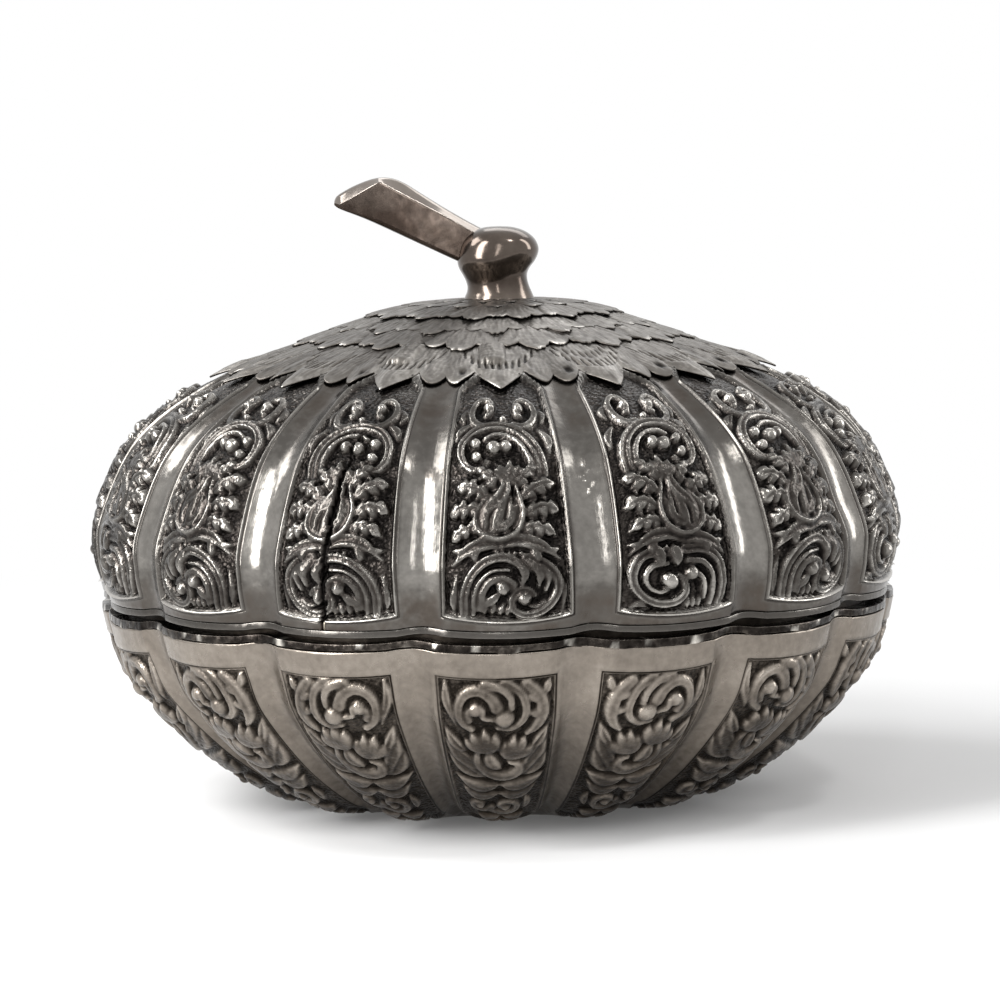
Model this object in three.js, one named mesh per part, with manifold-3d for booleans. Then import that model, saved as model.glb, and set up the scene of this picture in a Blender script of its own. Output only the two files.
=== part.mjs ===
import * as THREE from 'three';
import Module from 'manifold-3d';

const wasm = await Module();
wasm.setup();

// All lengths are millimetres. Z = 0 is the resting plane, and angle 0 is the front, towards -Y.

// Body of the box
const bodyRadius = 80;
const baseDepth = 40.5;
const lidRise = 57.8;
const footShare = 0.3375;
const bowlWall = 0.9;
const lidWall = 0.8;
const seatGap = 0.3;
const runningGap = 0.5;

// Each station is a share of the body's radius and a share of the lid's rise above the joint.
const lidStationShares = [
  [0.979, 0.033], [0.999, 0.158], [0.993, 0.298], [0.899, 0.561], [0.729, 0.739],
  [0.538, 0.828], [0.375, 0.9], [0.225, 0.956], [0.045, 0.975],
];
// Each station is a share of the body's radius and a share of the base's depth below the joint.
const baseStationShares = [
  [0.36, 0.992], [0.52, 0.962], [0.61, 0.912], [0.766, 0.7], [0.916, 0.4], [0.963, 0.208],
  [0.983, 0.049],
];
const baseRows = 9;
// Radii of the rows that the dome and the leaves over it have in common, as shares of the body's
const crownRowShares = [0.75, 0.675, 0.6, 0.51, 0.42, 0.33, 0.24, 0.14];
const halvings = 24;

// Sixteen lobes: raised panels with plain hollow ribs between them
const lobeCount = 16;
const panelHalfShare = 0.34;
const panelDropShare = 0.45;
const halfPitchShare = 0.5;
const lobeSampleShares = [-0.34, -0.17, 0, 0.17, 0.34, 0.5];
const panelSampleShares = [-0.34, -0.29, -0.12, 0.12, 0.29, 0.34, 0.5];
const panelMiddleShare = 0.12;
const rimLobeDepth = 2;
const lidLobeDepth = 2.6;
const baseLobeDepth = 3.5;
const lobeGrowth = 14;
// Radii between which the lobes fade out, as shares of the body's
const lidLobeFadeStartShare = 0.775;
const lidLobeFadeEndShare = 0.5;
const baseLobeFadeStartShare = 0.55;
const baseLobeFadeEndShare = 0.3625;
const jointWave = 0.8;
const jointWaveFade = 15;
const lidTurnDegrees = 1.3;

// Relief of the lid's panels, whose borders are level with the sheet: a sunk ground and a raised mass for
// each ornament. A row gives its share of the way from the rim to the leaves, and its heights along the
// middle and beside the borders as shares of the ground's depth.
const groundDepth = 0.95;
const reliefRowShares = [
  [0.045, 0, 0], [0.075, -1, -1], [0.155, 0.3, 0], [0.26, -0.8, -1], [0.365, 0.3, 0], [0.475, 0, -0.4],
  [0.54, -1, -1], [0.625, 0.2, -0.2], [0.73, 0.2, -0.7], [0.79, -1, -1], [0.87, 0.2, -0.6], [0.945, -1, -1],
  [1, 0, 0],
];
// Rows of the dome's inner face between the rim and the leaves, and over the crown
const insideRowShares = [[0.045, 0], [0.075, 1], [0.27, 1], [0.5, 1], [0.73, 1], [0.945, 1], [1, 0]];
const insideCrownShares = [0.6, 0.33, 0.14];

// Rim strips, one soldered under each sheet's edge, and the collar that the lid slips over
const lidStripWidth = 2.2;
const baseStripWidth = 3.9;
const stripHeight = 1.1;
const stripBevel = 0.4;
const landGap = 0.5;
const lidStripInset = 0.3;
const baseStripProud = 0.2;
const collarWall = 1;
const collarRise = 3.8;
const collarDrop = 5;

// Two tiers of leaves laid over the crown, with the radii of their edges as shares of the body's
const leafWall = 0.7;
const outerTipShare = 0.74;
const outerShoulderShare = 0.6975;
const outerSideShare = 0.6825;
const outerNotchShare = 0.625;
// The outer sheet's two upper rows of leaves: the edge's radius over the panels and over the ribs
const middleRowShares = [0.47, 0.53];
const highRowShares = [0.435, 0.385];
const flatCrownShare = 0.368;
const leafCurl = 0.8;
const leafGap = 0.4;
const innerTipShare = 0.3575;
const innerNotchShare = 0.33;
const innerLeafWall = 0.8;
// The inner sheet's two upper rows of leaves, likewise, and where it is flat round the stem
const innerMiddleShares = [0.2425, 0.2175];
const innerHighShares = [0.14, 0.155];
const innerFlatShare = 0.105;
const innerLeafCurl = 0.6;
const crownSegments = 48;

// Stem handle: a stud with a foot, a neck, a bulb and a flat blade
const stemOffCentre = 1.4;
const crownBlendShare = 0.375;
const studRadius = 2.9;
const studLength = 8.6;
const stemFootRadius = 6.5;
const stemFootHeight = 1.1;
const neckRadius = 5.9;
const neckHeight = 2.3;
const bulbRadius = 7.9;
const bulbHeight = 9.2;
const bulbBaseRadius = 6.2;
const bulbShoulderRadius = 6.1;
const bulbShoulderShare = 0.39;
const bulbPoints = 12;
const stemSegments = 24;
const bladeReach = 32.6;
const bladeThicknessShare = 0.166;
const bladeBevelShare = 0.03;
// Outline of the blade as shares of its reach, from the bulb's centre out to the tip and back
const bladeLowerShares = [
  [-0.06, -0.107], [-0.242, -0.101], [-0.417, -0.018], [-0.653, 0.083], [-0.847, 0.175],
];
const bladeTipShares = [[-0.994, 0.273], [-1, 0.325], [-0.859, 0.426]];
const bladeUpperShares = [
  [-0.721, 0.463], [-0.626, 0.433], [-0.485, 0.322], [-0.356, 0.239], [-0.248, 0.178], [-0.092, 0.129],
];

// Washer and nut that hold the stem from inside the lid
const washerRadius = 9;
const washerThickness = 1;
const nutAcrossCorners = 11;
const nutHeight = 3.6;
const hexSides = 6;

// Ledge, tray, tray knob and cups
const ledgeRiseShare = 0.78;
const ledgeHeight = 1.2;
const ledgeWidth = 4.8;
const roundSegments = 48;
const trayClearance = 1.6;
const trayWall = 1;
const trayRimRise = 5;
const trayRimBend = 1.2;
// The cups' circle and mouths as shares of the tray's radius, and their depth as one of its height
const cupCircleShare = 0.58;
const cupCount = 4;
const cupMouthShare = 0.2655;
const cupFlangeWidth = 2.7;
const cupDepthShare = 0.514;
const cupFloorShare = 0.667;
const cupBulge = 1.6;
const cupWall = 0.8;
const cupRows = 3;
const cupSegments = 24;
const knobShankRadius = 1.7;
const knobHeadRadius = 3.4;
const knobHeadHeight = 0.9;
const knobFootRadius = 4.6;
const knobNeckRadius = 2.4;
const knobBallRadius = 4.4;
const knobNeckHeight = 3.4;
const knobRows = 5;
const knobSegments = 14;

const jointHeight = baseDepth;
const footRadius = bodyRadius * footShare;
const crownBlend = bodyRadius * crownBlendShare;
const innerTierLift = leafGap + leafWall + seatGap;
const pitch = (2 * Math.PI) / lobeCount;

// How far down the valley a point lies: 0 on a panel's centre line and 1 on a rib's centre line.
function valleyShare(phase) {
  const across = Math.abs(phase - Math.round(phase));
  if (across <= panelHalfShare) return panelDropShare * (across / panelHalfShare) ** 2;
  const down = (across - panelHalfShare) / (halfPitchShare - panelHalfShare);
  return panelDropShare + (1 - panelDropShare) * Math.sin((down * Math.PI) / 2);
}

// The lobe phases of every sampled angle, once round the body.
function lobePhases(sampleShares) {
  const phases = [];
  for (let lobe = 0; lobe < lobeCount; lobe += 1) {
    for (const share of sampleShares) phases.push(lobe + share);
  }
  return phases;
}

function smoothShare(from, to, value) {
  return THREE.MathUtils.smoothstep(value, from, to);
}

// A smooth meridian through stations, with the outward normal at any share of its length.
function meridian(stations) {
  const curve = new THREE.SplineCurve(stations.map(([r, z]) => new THREE.Vector2(r, z)));
  return (share) => {
    const spot = curve.getPointAt(share);
    const along = curve.getTangentAt(share);
    return { r: spot.x, z: spot.y, nr: along.y, nz: -along.x };
  };
}

// The share of a meridian where a test first turns true, found by halving.
function halvedShare(along, isPast) {
  let low = 0;
  let high = 1;
  for (let i = 0; i < halvings; i += 1) {
    const middle = (low + high) / 2;
    if (isPast(along(middle))) high = middle;
    else low = middle;
  }
  return low;
}

const lidMeridian = meridian(
  lidStationShares.map(([r, z]) => [bodyRadius * r, jointHeight + lidRise * z]),
);
const baseMeridian = meridian(
  baseStationShares.map(([r, z]) => [bodyRadius * r, jointHeight - baseDepth * z]),
);

// Lobe depth of the lid: shallow at the rim, full on the belly, gone under the leaves.
function lidDepth(spot) {
  const grown = smoothShare(0, lobeGrowth, spot.z - jointHeight);
  const kept = smoothShare(lidLobeFadeEndShare, lidLobeFadeStartShare, spot.r / bodyRadius);
  return (rimLobeDepth + (lidLobeDepth - rimLobeDepth) * grown) * kept;
}

// Lobe depth of the base: growing downwards and gone at the flat foot.
function baseDepthOfLobes(spot) {
  const grown = smoothShare(0, lobeGrowth, jointHeight - spot.z);
  const kept = smoothShare(baseLobeFadeEndShare, baseLobeFadeStartShare, spot.r / bodyRadius);
  return (rimLobeDepth + (baseLobeDepth - rimLobeDepth) * grown) * kept;
}

// A spot with a level normal, for the edge of a sheet at the joint.
function levelled(spot) {
  return { ...spot, nr: 1, nz: 0 };
}

// A point offset outwards from a meridian, sunk by the lobe's depth and lifted with the joint's wave.
function lobedPoint(spot, offset, depth, phase) {
  const valley = valleyShare(phase);
  const out = offset - depth * valley;
  const wave = jointWave * valley * (1 - smoothShare(0, jointWaveFade, Math.abs(spot.z - jointHeight)));
  return [spot.r + spot.nr * out, spot.z + spot.nz * out + wave];
}

// Places a meridian point at an angle, counted from the front, and shifts the crown with the stem.
function place(r, z, angle, offCentre = 0) {
  const shift = offCentre * Math.max(0, 1 - r / crownBlend);
  return [r * Math.sin(angle) + shift, -r * Math.cos(angle), z];
}

function meshGeometry(positions, indices) {
  const geometry = new THREE.BufferGeometry();
  geometry.setAttribute('position', new THREE.Float32BufferAttribute(positions, 3));
  geometry.setIndex(indices);
  geometry.computeVertexNormals();
  return geometry;
}

// A ring-shaped body: one closed outline per angle, each running anticlockwise in radius and height.
function ringBody(angles, outlineAt, offCentre = 0) {
  const positions = [];
  const indices = [];
  const outlines = angles.map((angle, i) => outlineAt(i));
  const count = outlines[0].length;
  outlines.forEach((outline, i) => {
    for (const [r, z] of outline) positions.push(...place(r, z, angles[i], offCentre));
  });
  for (let i = 0; i < angles.length; i += 1) {
    const next = ((i + 1) % angles.length) * count;
    for (let j = 0; j < count; j += 1) {
      const above = (j + 1) % count;
      indices.push(i * count + j, next + j, next + above);
      indices.push(i * count + j, next + above, i * count + above);
    }
  }
  return meshGeometry(positions, indices);
}

// A bowl-shaped body: outlines from the axis below, outwards, and back to the axis above.
function bowlBody(angles, lowPole, highPole, outlineAt) {
  const positions = [];
  const indices = [];
  const outlines = angles.map((angle, i) => outlineAt(i));
  const count = outlines[0].length;
  outlines.forEach((outline, i) => {
    for (const [r, z] of outline) positions.push(...place(r, z, angles[i]));
  });
  const low = angles.length * count;
  positions.push(0, 0, lowPole, 0, 0, highPole);
  for (let i = 0; i < angles.length; i += 1) {
    const here = i * count;
    const next = ((i + 1) % angles.length) * count;
    indices.push(low, next, here, low + 1, here + count - 1, next + count - 1);
    for (let j = 0; j < count - 1; j += 1) {
      indices.push(here + j, next + j, next + j + 1, here + j, next + j + 1, here + j + 1);
    }
  }
  return meshGeometry(positions, indices);
}

function evenShares(rows) {
  return Array.from({ length: rows + 1 }, (_, i) => i / rows);
}

const phases = lobePhases(lobeSampleShares);
const panelPhases = lobePhases(panelSampleShares);
const lidTurn = THREE.MathUtils.degToRad(lidTurnDegrees);
const baseAngles = phases.map((phase) => phase * pitch);
const lidAngles = phases.map((phase) => phase * pitch + lidTurn);
const domeAngles = panelPhases.map((phase) => phase * pitch + lidTurn);

function baseBowl() {
  const spots = evenShares(baseRows).map((share) => baseMeridian(share));
  spots.push(levelled(spots.pop()));
  return bowlBody(baseAngles, 0, bowlWall, (i) => [
    [footRadius, 0],
    ...spots.map((spot) => lobedPoint(spot, 0, baseDepthOfLobes(spot), phases[i])),
    ...spots.toReversed().map((spot) => lobedPoint(spot, -bowlWall, baseDepthOfLobes(spot), phases[i])),
    [footRadius, bowlWall],
  ]);
}

// Which of a relief row's heights holds at a lobe phase: the middle's, the side's, or none on a border.
function reliefAt(phase, middle, side) {
  const across = Math.abs(phase - Math.round(phase));
  if (across <= panelMiddleShare) return middle;
  return across < panelHalfShare ? side : 0;
}

function lidDome() {
  const crown = crownRowShares.map((share) => lidShareAt(bodyRadius * share));
  const rim = { ...levelled(lidMeridian(0)), middle: 0, side: 0 };
  const row = (share, middle, side) => ({ ...lidMeridian(share), middle, side });
  const outside = [
    rim,
    ...reliefRowShares.map(([share, middle, side]) => row(share * crown[0], middle, side)),
    ...[...crown.slice(1), 1].map((share) => row(share, 0, 0)),
  ];
  const inside = [
    rim,
    ...insideRowShares.map(([share, sunk]) => row(share * crown[0], -sunk, -sunk)),
    ...insideCrownShares.map((share) => row(lidShareAt(bodyRadius * share), 0, 0)),
    row(1, 0, 0),
  ];
  return ringBody(domeAngles, (i) => {
    const at = (spot, offset) => {
      const relief = groundDepth * reliefAt(panelPhases[i], spot.middle, spot.side);
      return lobedPoint(spot, offset + relief, lidDepth(spot), panelPhases[i]);
    };
    return [...outside.map((spot) => at(spot, 0)), ...inside.toReversed().map((spot) => at(spot, -lidWall))];
  }, stemOffCentre);
}

// Where the joint plane meets a sheet: the rim's radius with a level normal.
function rimSpot(sheet, z) {
  return { r: sheet(0).r, z, nr: 1, nz: 0 };
}

function lidRimStrip() {
  const low = jointHeight + landGap / 2;
  const spot = (z) => rimSpot(lidMeridian, z);
  const at = (offset, z, i) => lobedPoint(spot(z), offset, rimLobeDepth, phases[i]);
  const outer = -lidStripInset;
  const inner = outer - lidStripWidth;
  return ringBody(lidAngles, (i) => [
    at(inner, low, i),
    at(outer - stripBevel, low, i),
    at(outer, low + stripBevel, i),
    at(outer, low + stripHeight, i),
    at(inner, low + stripHeight, i),
  ]);
}

function baseRimStrip() {
  const high = jointHeight - landGap / 2;
  const rim = { ...baseMeridian(1), nr: 1, nz: 0 };
  const at = (offset, z, i) => lobedPoint({ ...rim, z }, offset, rimLobeDepth, phases[i]);
  const outer = baseStripProud;
  const inner = outer - baseStripWidth;
  return ringBody(baseAngles, (i) => [
    at(inner, high - stripHeight, i),
    at(outer, high - stripHeight, i),
    at(outer, high - stripBevel, i),
    at(outer - stripBevel, high, i),
    at(inner, high, i),
  ]);
}

// How far the collar's outer face lies inside the rim's meridian.
const collarOuter = baseStripProud - baseStripWidth - seatGap;

function baseCollar() {
  const rim = { ...baseMeridian(1), nr: 1, nz: 0 };
  const outer = collarOuter;
  const at = (offset, z, i) => lobedPoint({ ...rim, z }, offset, rimLobeDepth, phases[i]);
  return ringBody(baseAngles, (i) => [
    at(outer - collarWall, jointHeight - collarDrop, i),
    at(outer, jointHeight - collarDrop, i),
    at(outer, jointHeight + collarRise - runningGap, i),
    at(outer - runningGap, jointHeight + collarRise, i),
    at(outer - collarWall, jointHeight + collarRise, i),
  ]);
}

// Edge of the outer leaves at a lobe phase, as a share of the body's radius: a point on every panel
// and a notch on every rib.
function outerLeafShare(phase) {
  const across = Math.abs(phase - Math.round(phase)) / halfPitchShare;
  const side = panelHalfShare / halfPitchShare;
  const shoulder = side / 2;
  if (across <= shoulder) return THREE.MathUtils.lerp(outerTipShare, outerShoulderShare, across / shoulder);
  if (across <= side) {
    return THREE.MathUtils.lerp(outerShoulderShare, outerSideShare, (across - shoulder) / (side - shoulder));
  }
  return THREE.MathUtils.lerp(outerSideShare, outerNotchShare, (across - side) / (1 - side));
}

// The lid's share at which its radius above the belly is the one asked for.
function lidShareAt(radius) {
  return halvedShare(lidMeridian, (spot) => spot.z > jointHeight + lidRise / 2 && spot.r < radius);
}

// A sheet of leaves that follows the dome, from its edge at each angle inwards. The rows over it give
// their share of the lid and their height above the sheet, and the rows under it are shared by all angles.
function leafTier(angles, edgeAt, rowsOver, rowShares, lift, wall, pointAt) {
  const edges = angles.map((angle, i) => lidShareAt(edgeAt(i)));
  return ringBody(angles, (i) => {
    const between = (edges[i] + rowShares[0]) / 2;
    const over = rowsOver(edges[i], between, i);
    const under = [edges[i], between, ...rowShares];
    return [
      ...over.map(([share, height]) => pointAt(lidMeridian(share), lift + wall + height, i)),
      ...under.toReversed().map((share) => pointAt(lidMeridian(share), lift, i)),
    ];
  }, stemOffCentre);
}

// Rows over a sheet: each row of leaves stands up at its edge and sinks to the sheet inwards. Its shares
// give its edge's radius over a panel and over a rib, and the flat rows lie on the sheet inside them.
function leafRows(edge, between, phase, curledShares, curl, flatShares) {
  const across = Math.abs(phase - Math.round(phase)) / halfPitchShare;
  const curled = curledShares.flatMap(([overPanel, overRib]) => {
    const share = lidShareAt(bodyRadius * THREE.MathUtils.lerp(overPanel, overRib, across));
    return [[share, 0], [share, curl]];
  });
  return [[edge, 0], [between, 0], ...curled, ...flatShares.map((share) => [share, 0])];
}

function leafMantleOuter() {
  const rows = crownRowShares.slice(2, -1).map((share) => lidShareAt(bodyRadius * share));
  const flatRadiusShares = [flatCrownShare, ...crownRowShares.slice(-3, -1)];
  const flat = flatRadiusShares.map((share) => lidShareAt(bodyRadius * share));
  const curled = [middleRowShares, highRowShares];
  return leafTier(
    lidAngles, (i) => bodyRadius * outerLeafShare(phases[i]),
    (edge, between, i) => leafRows(edge, between, phases[i], curled, leafCurl, flat), rows, leafGap, leafWall,
    (spot, offset, i) => lobedPoint(spot, offset, lidDepth(spot), phases[i]),
  );
}

function leafMantleInner() {
  const turns = evenShares(crownSegments).slice(0, crownSegments);
  const angles = turns.map((share) => share * 2 * Math.PI + lidTurn);
  const edge = (i) => {
    const wave = (1 + Math.cos(turns[i] * 2 * Math.PI * lobeCount)) / 2;
    return bodyRadius * THREE.MathUtils.lerp(innerNotchShare, innerTipShare, wave);
  };
  const rows = [...crownRowShares.slice(-2).map((share) => lidShareAt(bodyRadius * share)), 1];
  const flat = [lidShareAt(bodyRadius * innerFlatShare), 1];
  const curled = [innerMiddleShares, innerHighShares];
  return leafTier(
    angles, edge,
    (rim, between, i) => leafRows(rim, between, turns[i] * lobeCount, curled, innerLeafCurl, flat), rows,
    innerTierLift, innerLeafWall, (spot, offset) => lobedPoint(spot, offset, 0, 0),
  );
}

function lathe(points, segments) {
  return new THREE.LatheGeometry(points.map(([r, z]) => new THREE.Vector2(r, z)), segments)
    .rotateX(Math.PI / 2);
}

function toManifold(geometry) {
  const at = geometry.getAttribute('position');
  const corners = geometry.index ? geometry.index.array : Array.from({ length: at.count }, (_, i) => i);
  const mesh = new wasm.Mesh({
    numProp: 3,
    vertProperties: Float32Array.from(at.array),
    triVerts: Uint32Array.from(corners),
  });
  mesh.merge();
  return new wasm.Manifold(mesh);
}

function fromManifold(solid) {
  const mesh = solid.getMesh();
  return meshGeometry(Array.from(mesh.vertProperties), Array.from(mesh.triVerts));
}

// Height of the crown's outer face, where the stem's foot stands.
const crownTop = lidMeridian(1).z + innerTierLift + innerLeafWall;
const stemFoot = crownTop + seatGap;
const bulbStart = stemFoot + stemFootHeight + neckHeight;
const bulbCentre = bulbStart + bulbHeight / 2;

function stemFinial() {
  const bulbTop = bulbStart + bulbHeight;
  const bulb = new THREE.SplineCurve([
    new THREE.Vector2(bulbBaseRadius, bulbStart),
    new THREE.Vector2(bulbRadius, bulbCentre),
    new THREE.Vector2(bulbShoulderRadius, bulbCentre + bulbHeight * bulbShoulderShare),
    new THREE.Vector2(0, bulbTop),
  ]).getPoints(bulbPoints).map((spot) => [Math.max(0, spot.x), spot.y]);
  const stem = lathe([
    [0, stemFoot - studLength],
    [studRadius, stemFoot - studLength],
    [studRadius, stemFoot],
    [stemFootRadius, stemFoot],
    [stemFootRadius, stemFoot + stemFootHeight / 2],
    [neckRadius, stemFoot + stemFootHeight],
    [neckRadius, bulbStart],
    ...bulb,
  ], stemSegments);
  const solid = toManifold(stem).add(toManifold(blade()));
  return fromManifold(solid).translate(stemOffCentre, 0, 0);
}

// The flat blade: an outline in the XZ plane, thickened evenly to both sides with a bevelled edge.
function blade() {
  const bladeThickness = bladeReach * bladeThicknessShare;
  const bladeBevel = bladeReach * bladeBevelShare;
  const spot = ([x, z]) => new THREE.Vector2(bladeReach * x, bulbCentre + bladeReach * z);
  const outline = new THREE.Shape();
  const lower = bladeLowerShares.map(spot);
  outline.moveTo(lower[0].x, lower[0].y);
  outline.splineThru(lower.slice(1));
  for (const corner of bladeTipShares.map(spot)) outline.lineTo(corner.x, corner.y);
  outline.splineThru(bladeUpperShares.map(spot));
  const body = new THREE.ExtrudeGeometry(outline, {
    depth: bladeThickness - 2 * bladeBevel,
    bevelThickness: bladeBevel,
    bevelSize: bladeBevel,
    bevelOffset: -bladeBevel,
    bevelSegments: 2,
    curveSegments: 3,
  });
  return body.translate(0, 0, bladeBevel - bladeThickness / 2).rotateX(Math.PI / 2);
}

// Underside of the dome at the stem, from which the washer and nut hang.
const domeInside = lidMeridian(lidShareAt(washerRadius)).z - lidWall;

function stemWasher() {
  const top = domeInside - seatGap;
  return lathe([
    [studRadius + seatGap, top - washerThickness],
    [washerRadius, top - washerThickness],
    [washerRadius, top],
    [studRadius + seatGap, top],
    [studRadius + seatGap, top - washerThickness],
  ], stemSegments).translate(stemOffCentre, 0, 0);
}

function stemNut() {
  const top = domeInside - seatGap - washerThickness - seatGap;
  const outline = new THREE.Shape();
  for (let i = 0; i < hexSides; i += 1) {
    const angle = (i / hexSides) * 2 * Math.PI;
    const x = (nutAcrossCorners / 2) * Math.cos(angle);
    const y = (nutAcrossCorners / 2) * Math.sin(angle);
    if (i === 0) outline.moveTo(x, y);
    else outline.lineTo(x, y);
  }
  outline.closePath();
  const hole = new THREE.Path();
  hole.absarc(0, 0, studRadius + seatGap, 0, 2 * Math.PI, true);
  outline.holes.push(hole);
  return new THREE.ExtrudeGeometry(outline, { depth: nutHeight, bevelEnabled: false, curveSegments: 12 })
    .translate(stemOffCentre, 0, top - nutHeight);
}

const ledgeRise = baseDepth * ledgeRiseShare;

// The ledge reaches out to the ribs' inner faces at its own height.
function trayLedge() {
  const ribInside = (spot) => lobedPoint(spot, -bowlWall, baseDepthOfLobes(spot), halfPitchShare);
  const spot = baseMeridian(halvedShare(baseMeridian, (tried) => ribInside(tried)[1] > ledgeRise));
  const outer = ribInside(spot)[0] - 2 * seatGap;
  const inner = outer - ledgeWidth;
  return lathe([
    [inner, ledgeRise],
    [outer, ledgeRise],
    [outer, ledgeRise + ledgeHeight],
    [inner, ledgeRise + ledgeHeight],
    [inner, ledgeRise],
  ], roundSegments);
}

const trayUnder = ledgeRise + ledgeHeight + seatGap;
const trayTop = trayUnder + trayWall;
// The tray passes down inside the collar, which is narrowest at its ribs.
const trayRadius = baseMeridian(1).r + collarOuter - collarWall - rimLobeDepth - trayClearance;
const cupCircle = trayRadius * cupCircleShare;
const cupMouthRadius = trayRadius * cupMouthShare;
const cupFloorRadius = cupMouthRadius * cupFloorShare;
const cupDepth = trayTop * cupDepthShare;

// The places of the four cups on their circle.
function cupPlaces() {
  return Array.from({ length: cupCount }, (_, i) => {
    const angle = ((i + 0.5) / cupCount) * 2 * Math.PI;
    return [cupCircle * Math.cos(angle), cupCircle * Math.sin(angle)];
  });
}

function tray() {
  const plate = lathe([
    [0, trayUnder],
    [trayRadius - trayRimBend, trayUnder],
    [trayRadius, trayUnder + trayRimBend],
    [trayRadius, trayUnder + trayRimRise],
    [trayRadius - trayWall, trayUnder + trayRimRise],
    [trayRadius - trayWall, trayTop + trayRimBend / 2],
    [trayRadius - trayWall - trayRimBend / 2, trayTop],
    [0, trayTop],
  ], roundSegments);
  let solid = toManifold(plate);
  const punch = (x, y, radius) => {
    const cutter = new THREE.CylinderGeometry(radius, radius, trayRimRise, cupSegments)
      .rotateX(Math.PI / 2).translate(x, y, trayUnder);
    solid = solid.subtract(toManifold(cutter));
  };
  for (const [x, y] of cupPlaces()) punch(x, y, cupMouthRadius + runningGap);
  punch(0, 0, knobShankRadius + seatGap);
  return fromManifold(solid);
}

// A spool riveted through the tray: a head under it, a shank, a foot, a neck and a ball to lift by.
function trayKnob() {
  const foot = trayTop + seatGap;
  const neckTop = foot + knobHeadHeight + knobNeckHeight;
  const start = Math.asin(knobNeckRadius / knobBallRadius);
  const centre = neckTop + knobBallRadius * Math.cos(start);
  const ball = evenShares(knobRows).map((share) => {
    const angle = THREE.MathUtils.lerp(start, Math.PI, share);
    const radius = share === 1 ? 0 : knobBallRadius * Math.sin(angle);
    return [radius, centre - knobBallRadius * Math.cos(angle)];
  });
  return lathe([
    [0, trayUnder - seatGap - knobHeadHeight],
    [knobHeadRadius, trayUnder - seatGap - knobHeadHeight],
    [knobHeadRadius, trayUnder - seatGap],
    [knobShankRadius, trayUnder - seatGap],
    [knobShankRadius, foot],
    [knobFootRadius, foot],
    [knobFootRadius, foot + knobHeadHeight / 2],
    [knobNeckRadius, foot + knobHeadHeight],
    ...ball,
  ], knobSegments);
}

// A cup that hangs in the tray by its flange.
function cup([x, y]) {
  const flange = trayTop + seatGap;
  const floor = flange - cupDepth;
  const wallAt = (share, inset) => {
    const radius = THREE.MathUtils.lerp(cupFloorRadius, cupMouthRadius, share);
    return radius + cupBulge * Math.sin(share * Math.PI) - inset;
  };
  const shares = evenShares(cupRows);
  const outer = shares.map((share) => [wallAt(share, 0), THREE.MathUtils.lerp(floor, flange, share)]);
  const inner = shares.toReversed().map((share) => [
    wallAt(share, cupWall), THREE.MathUtils.lerp(floor + cupWall, flange + cupWall, share),
  ]);
  return lathe([
    [0, floor],
    ...outer,
    [cupMouthRadius + cupFlangeWidth, flange],
    [cupMouthRadius + cupFlangeWidth, flange + cupWall],
    ...inner,
    [0, floor + cupWall],
  ], cupSegments).translate(x, y, 0);
}

function piece(name, geometry, colour, roughness, metalness) {
  const material = new THREE.MeshStandardMaterial({ color: colour, roughness, metalness });
  const mesh = new THREE.Mesh(geometry, material);
  mesh.name = name;
  return mesh;
}

const paanBox = new THREE.Group();
paanBox.name = 'paan_box';
paanBox.add(
  piece('base_bowl', baseBowl(), 0xa39b8f, 0.42, 1),
  piece('base_rim_strip', baseRimStrip(), 0x55504c, 0.4, 1),
  piece('base_collar', baseCollar(), 0x9d978d, 0.35, 1),
  piece('tray_ledge', trayLedge(), 0x9d978d, 0.4, 1),
  piece('lid_dome', lidDome(), 0x6f6b69, 0.3, 1),
  piece('lid_rim_strip', lidRimStrip(), 0x5a5553, 0.35, 1),
  piece('leaf_mantle_outer', leafMantleOuter(), 0x6a6664, 0.4, 1),
  piece('leaf_mantle_inner', leafMantleInner(), 0x66625f, 0.42, 1),
  piece('stem_finial', stemFinial(), 0x5c5049, 0.3, 1),
  piece('stem_washer', stemWasher(), 0x8d8880, 0.45, 1),
  piece('stem_nut', stemNut(), 0x8d8880, 0.4, 1),
  piece('tray', tray(), 0xa39d92, 0.4, 1),
  piece('tray_knob', trayKnob(), 0xa39d92, 0.35, 1),
);
cupPlaces().forEach((spot, i) => {
  paanBox.add(piece(`cup_${i + 1}`, cup(spot), 0xaaa498, 0.38, 1));
});

export default paanBox;
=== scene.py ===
"""Paan box of chased silver: a lobed lid and bowl, leaves round a cast stem, and a tray of cups inside.

Every length is in millimetres until a mesh is made, when it becomes metres in the frame's own axes:
+Z up, the front towards -Y, angles counted from the front towards +X.
"""

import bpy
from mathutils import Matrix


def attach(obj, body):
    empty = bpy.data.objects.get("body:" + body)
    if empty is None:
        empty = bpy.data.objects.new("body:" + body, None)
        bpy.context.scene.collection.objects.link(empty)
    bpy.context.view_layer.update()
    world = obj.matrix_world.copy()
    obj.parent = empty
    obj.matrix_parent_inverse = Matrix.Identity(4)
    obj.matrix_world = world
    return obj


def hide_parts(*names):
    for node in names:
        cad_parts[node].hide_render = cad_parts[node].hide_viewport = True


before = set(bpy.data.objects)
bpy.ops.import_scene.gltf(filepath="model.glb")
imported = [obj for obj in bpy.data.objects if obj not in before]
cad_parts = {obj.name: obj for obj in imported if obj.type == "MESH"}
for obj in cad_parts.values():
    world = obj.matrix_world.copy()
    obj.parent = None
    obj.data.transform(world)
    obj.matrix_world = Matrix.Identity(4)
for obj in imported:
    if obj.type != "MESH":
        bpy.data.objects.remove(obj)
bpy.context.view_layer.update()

import logging
import math
from dataclasses import astuple, dataclass, field, replace
from enum import Enum
from typing import Sequence

import bpy
import numpy as np
from mathutils import Matrix, Vector

logging.basicConfig(level=logging.INFO, format="%(message)s")
log = logging.getLogger("paan_box")

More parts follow.
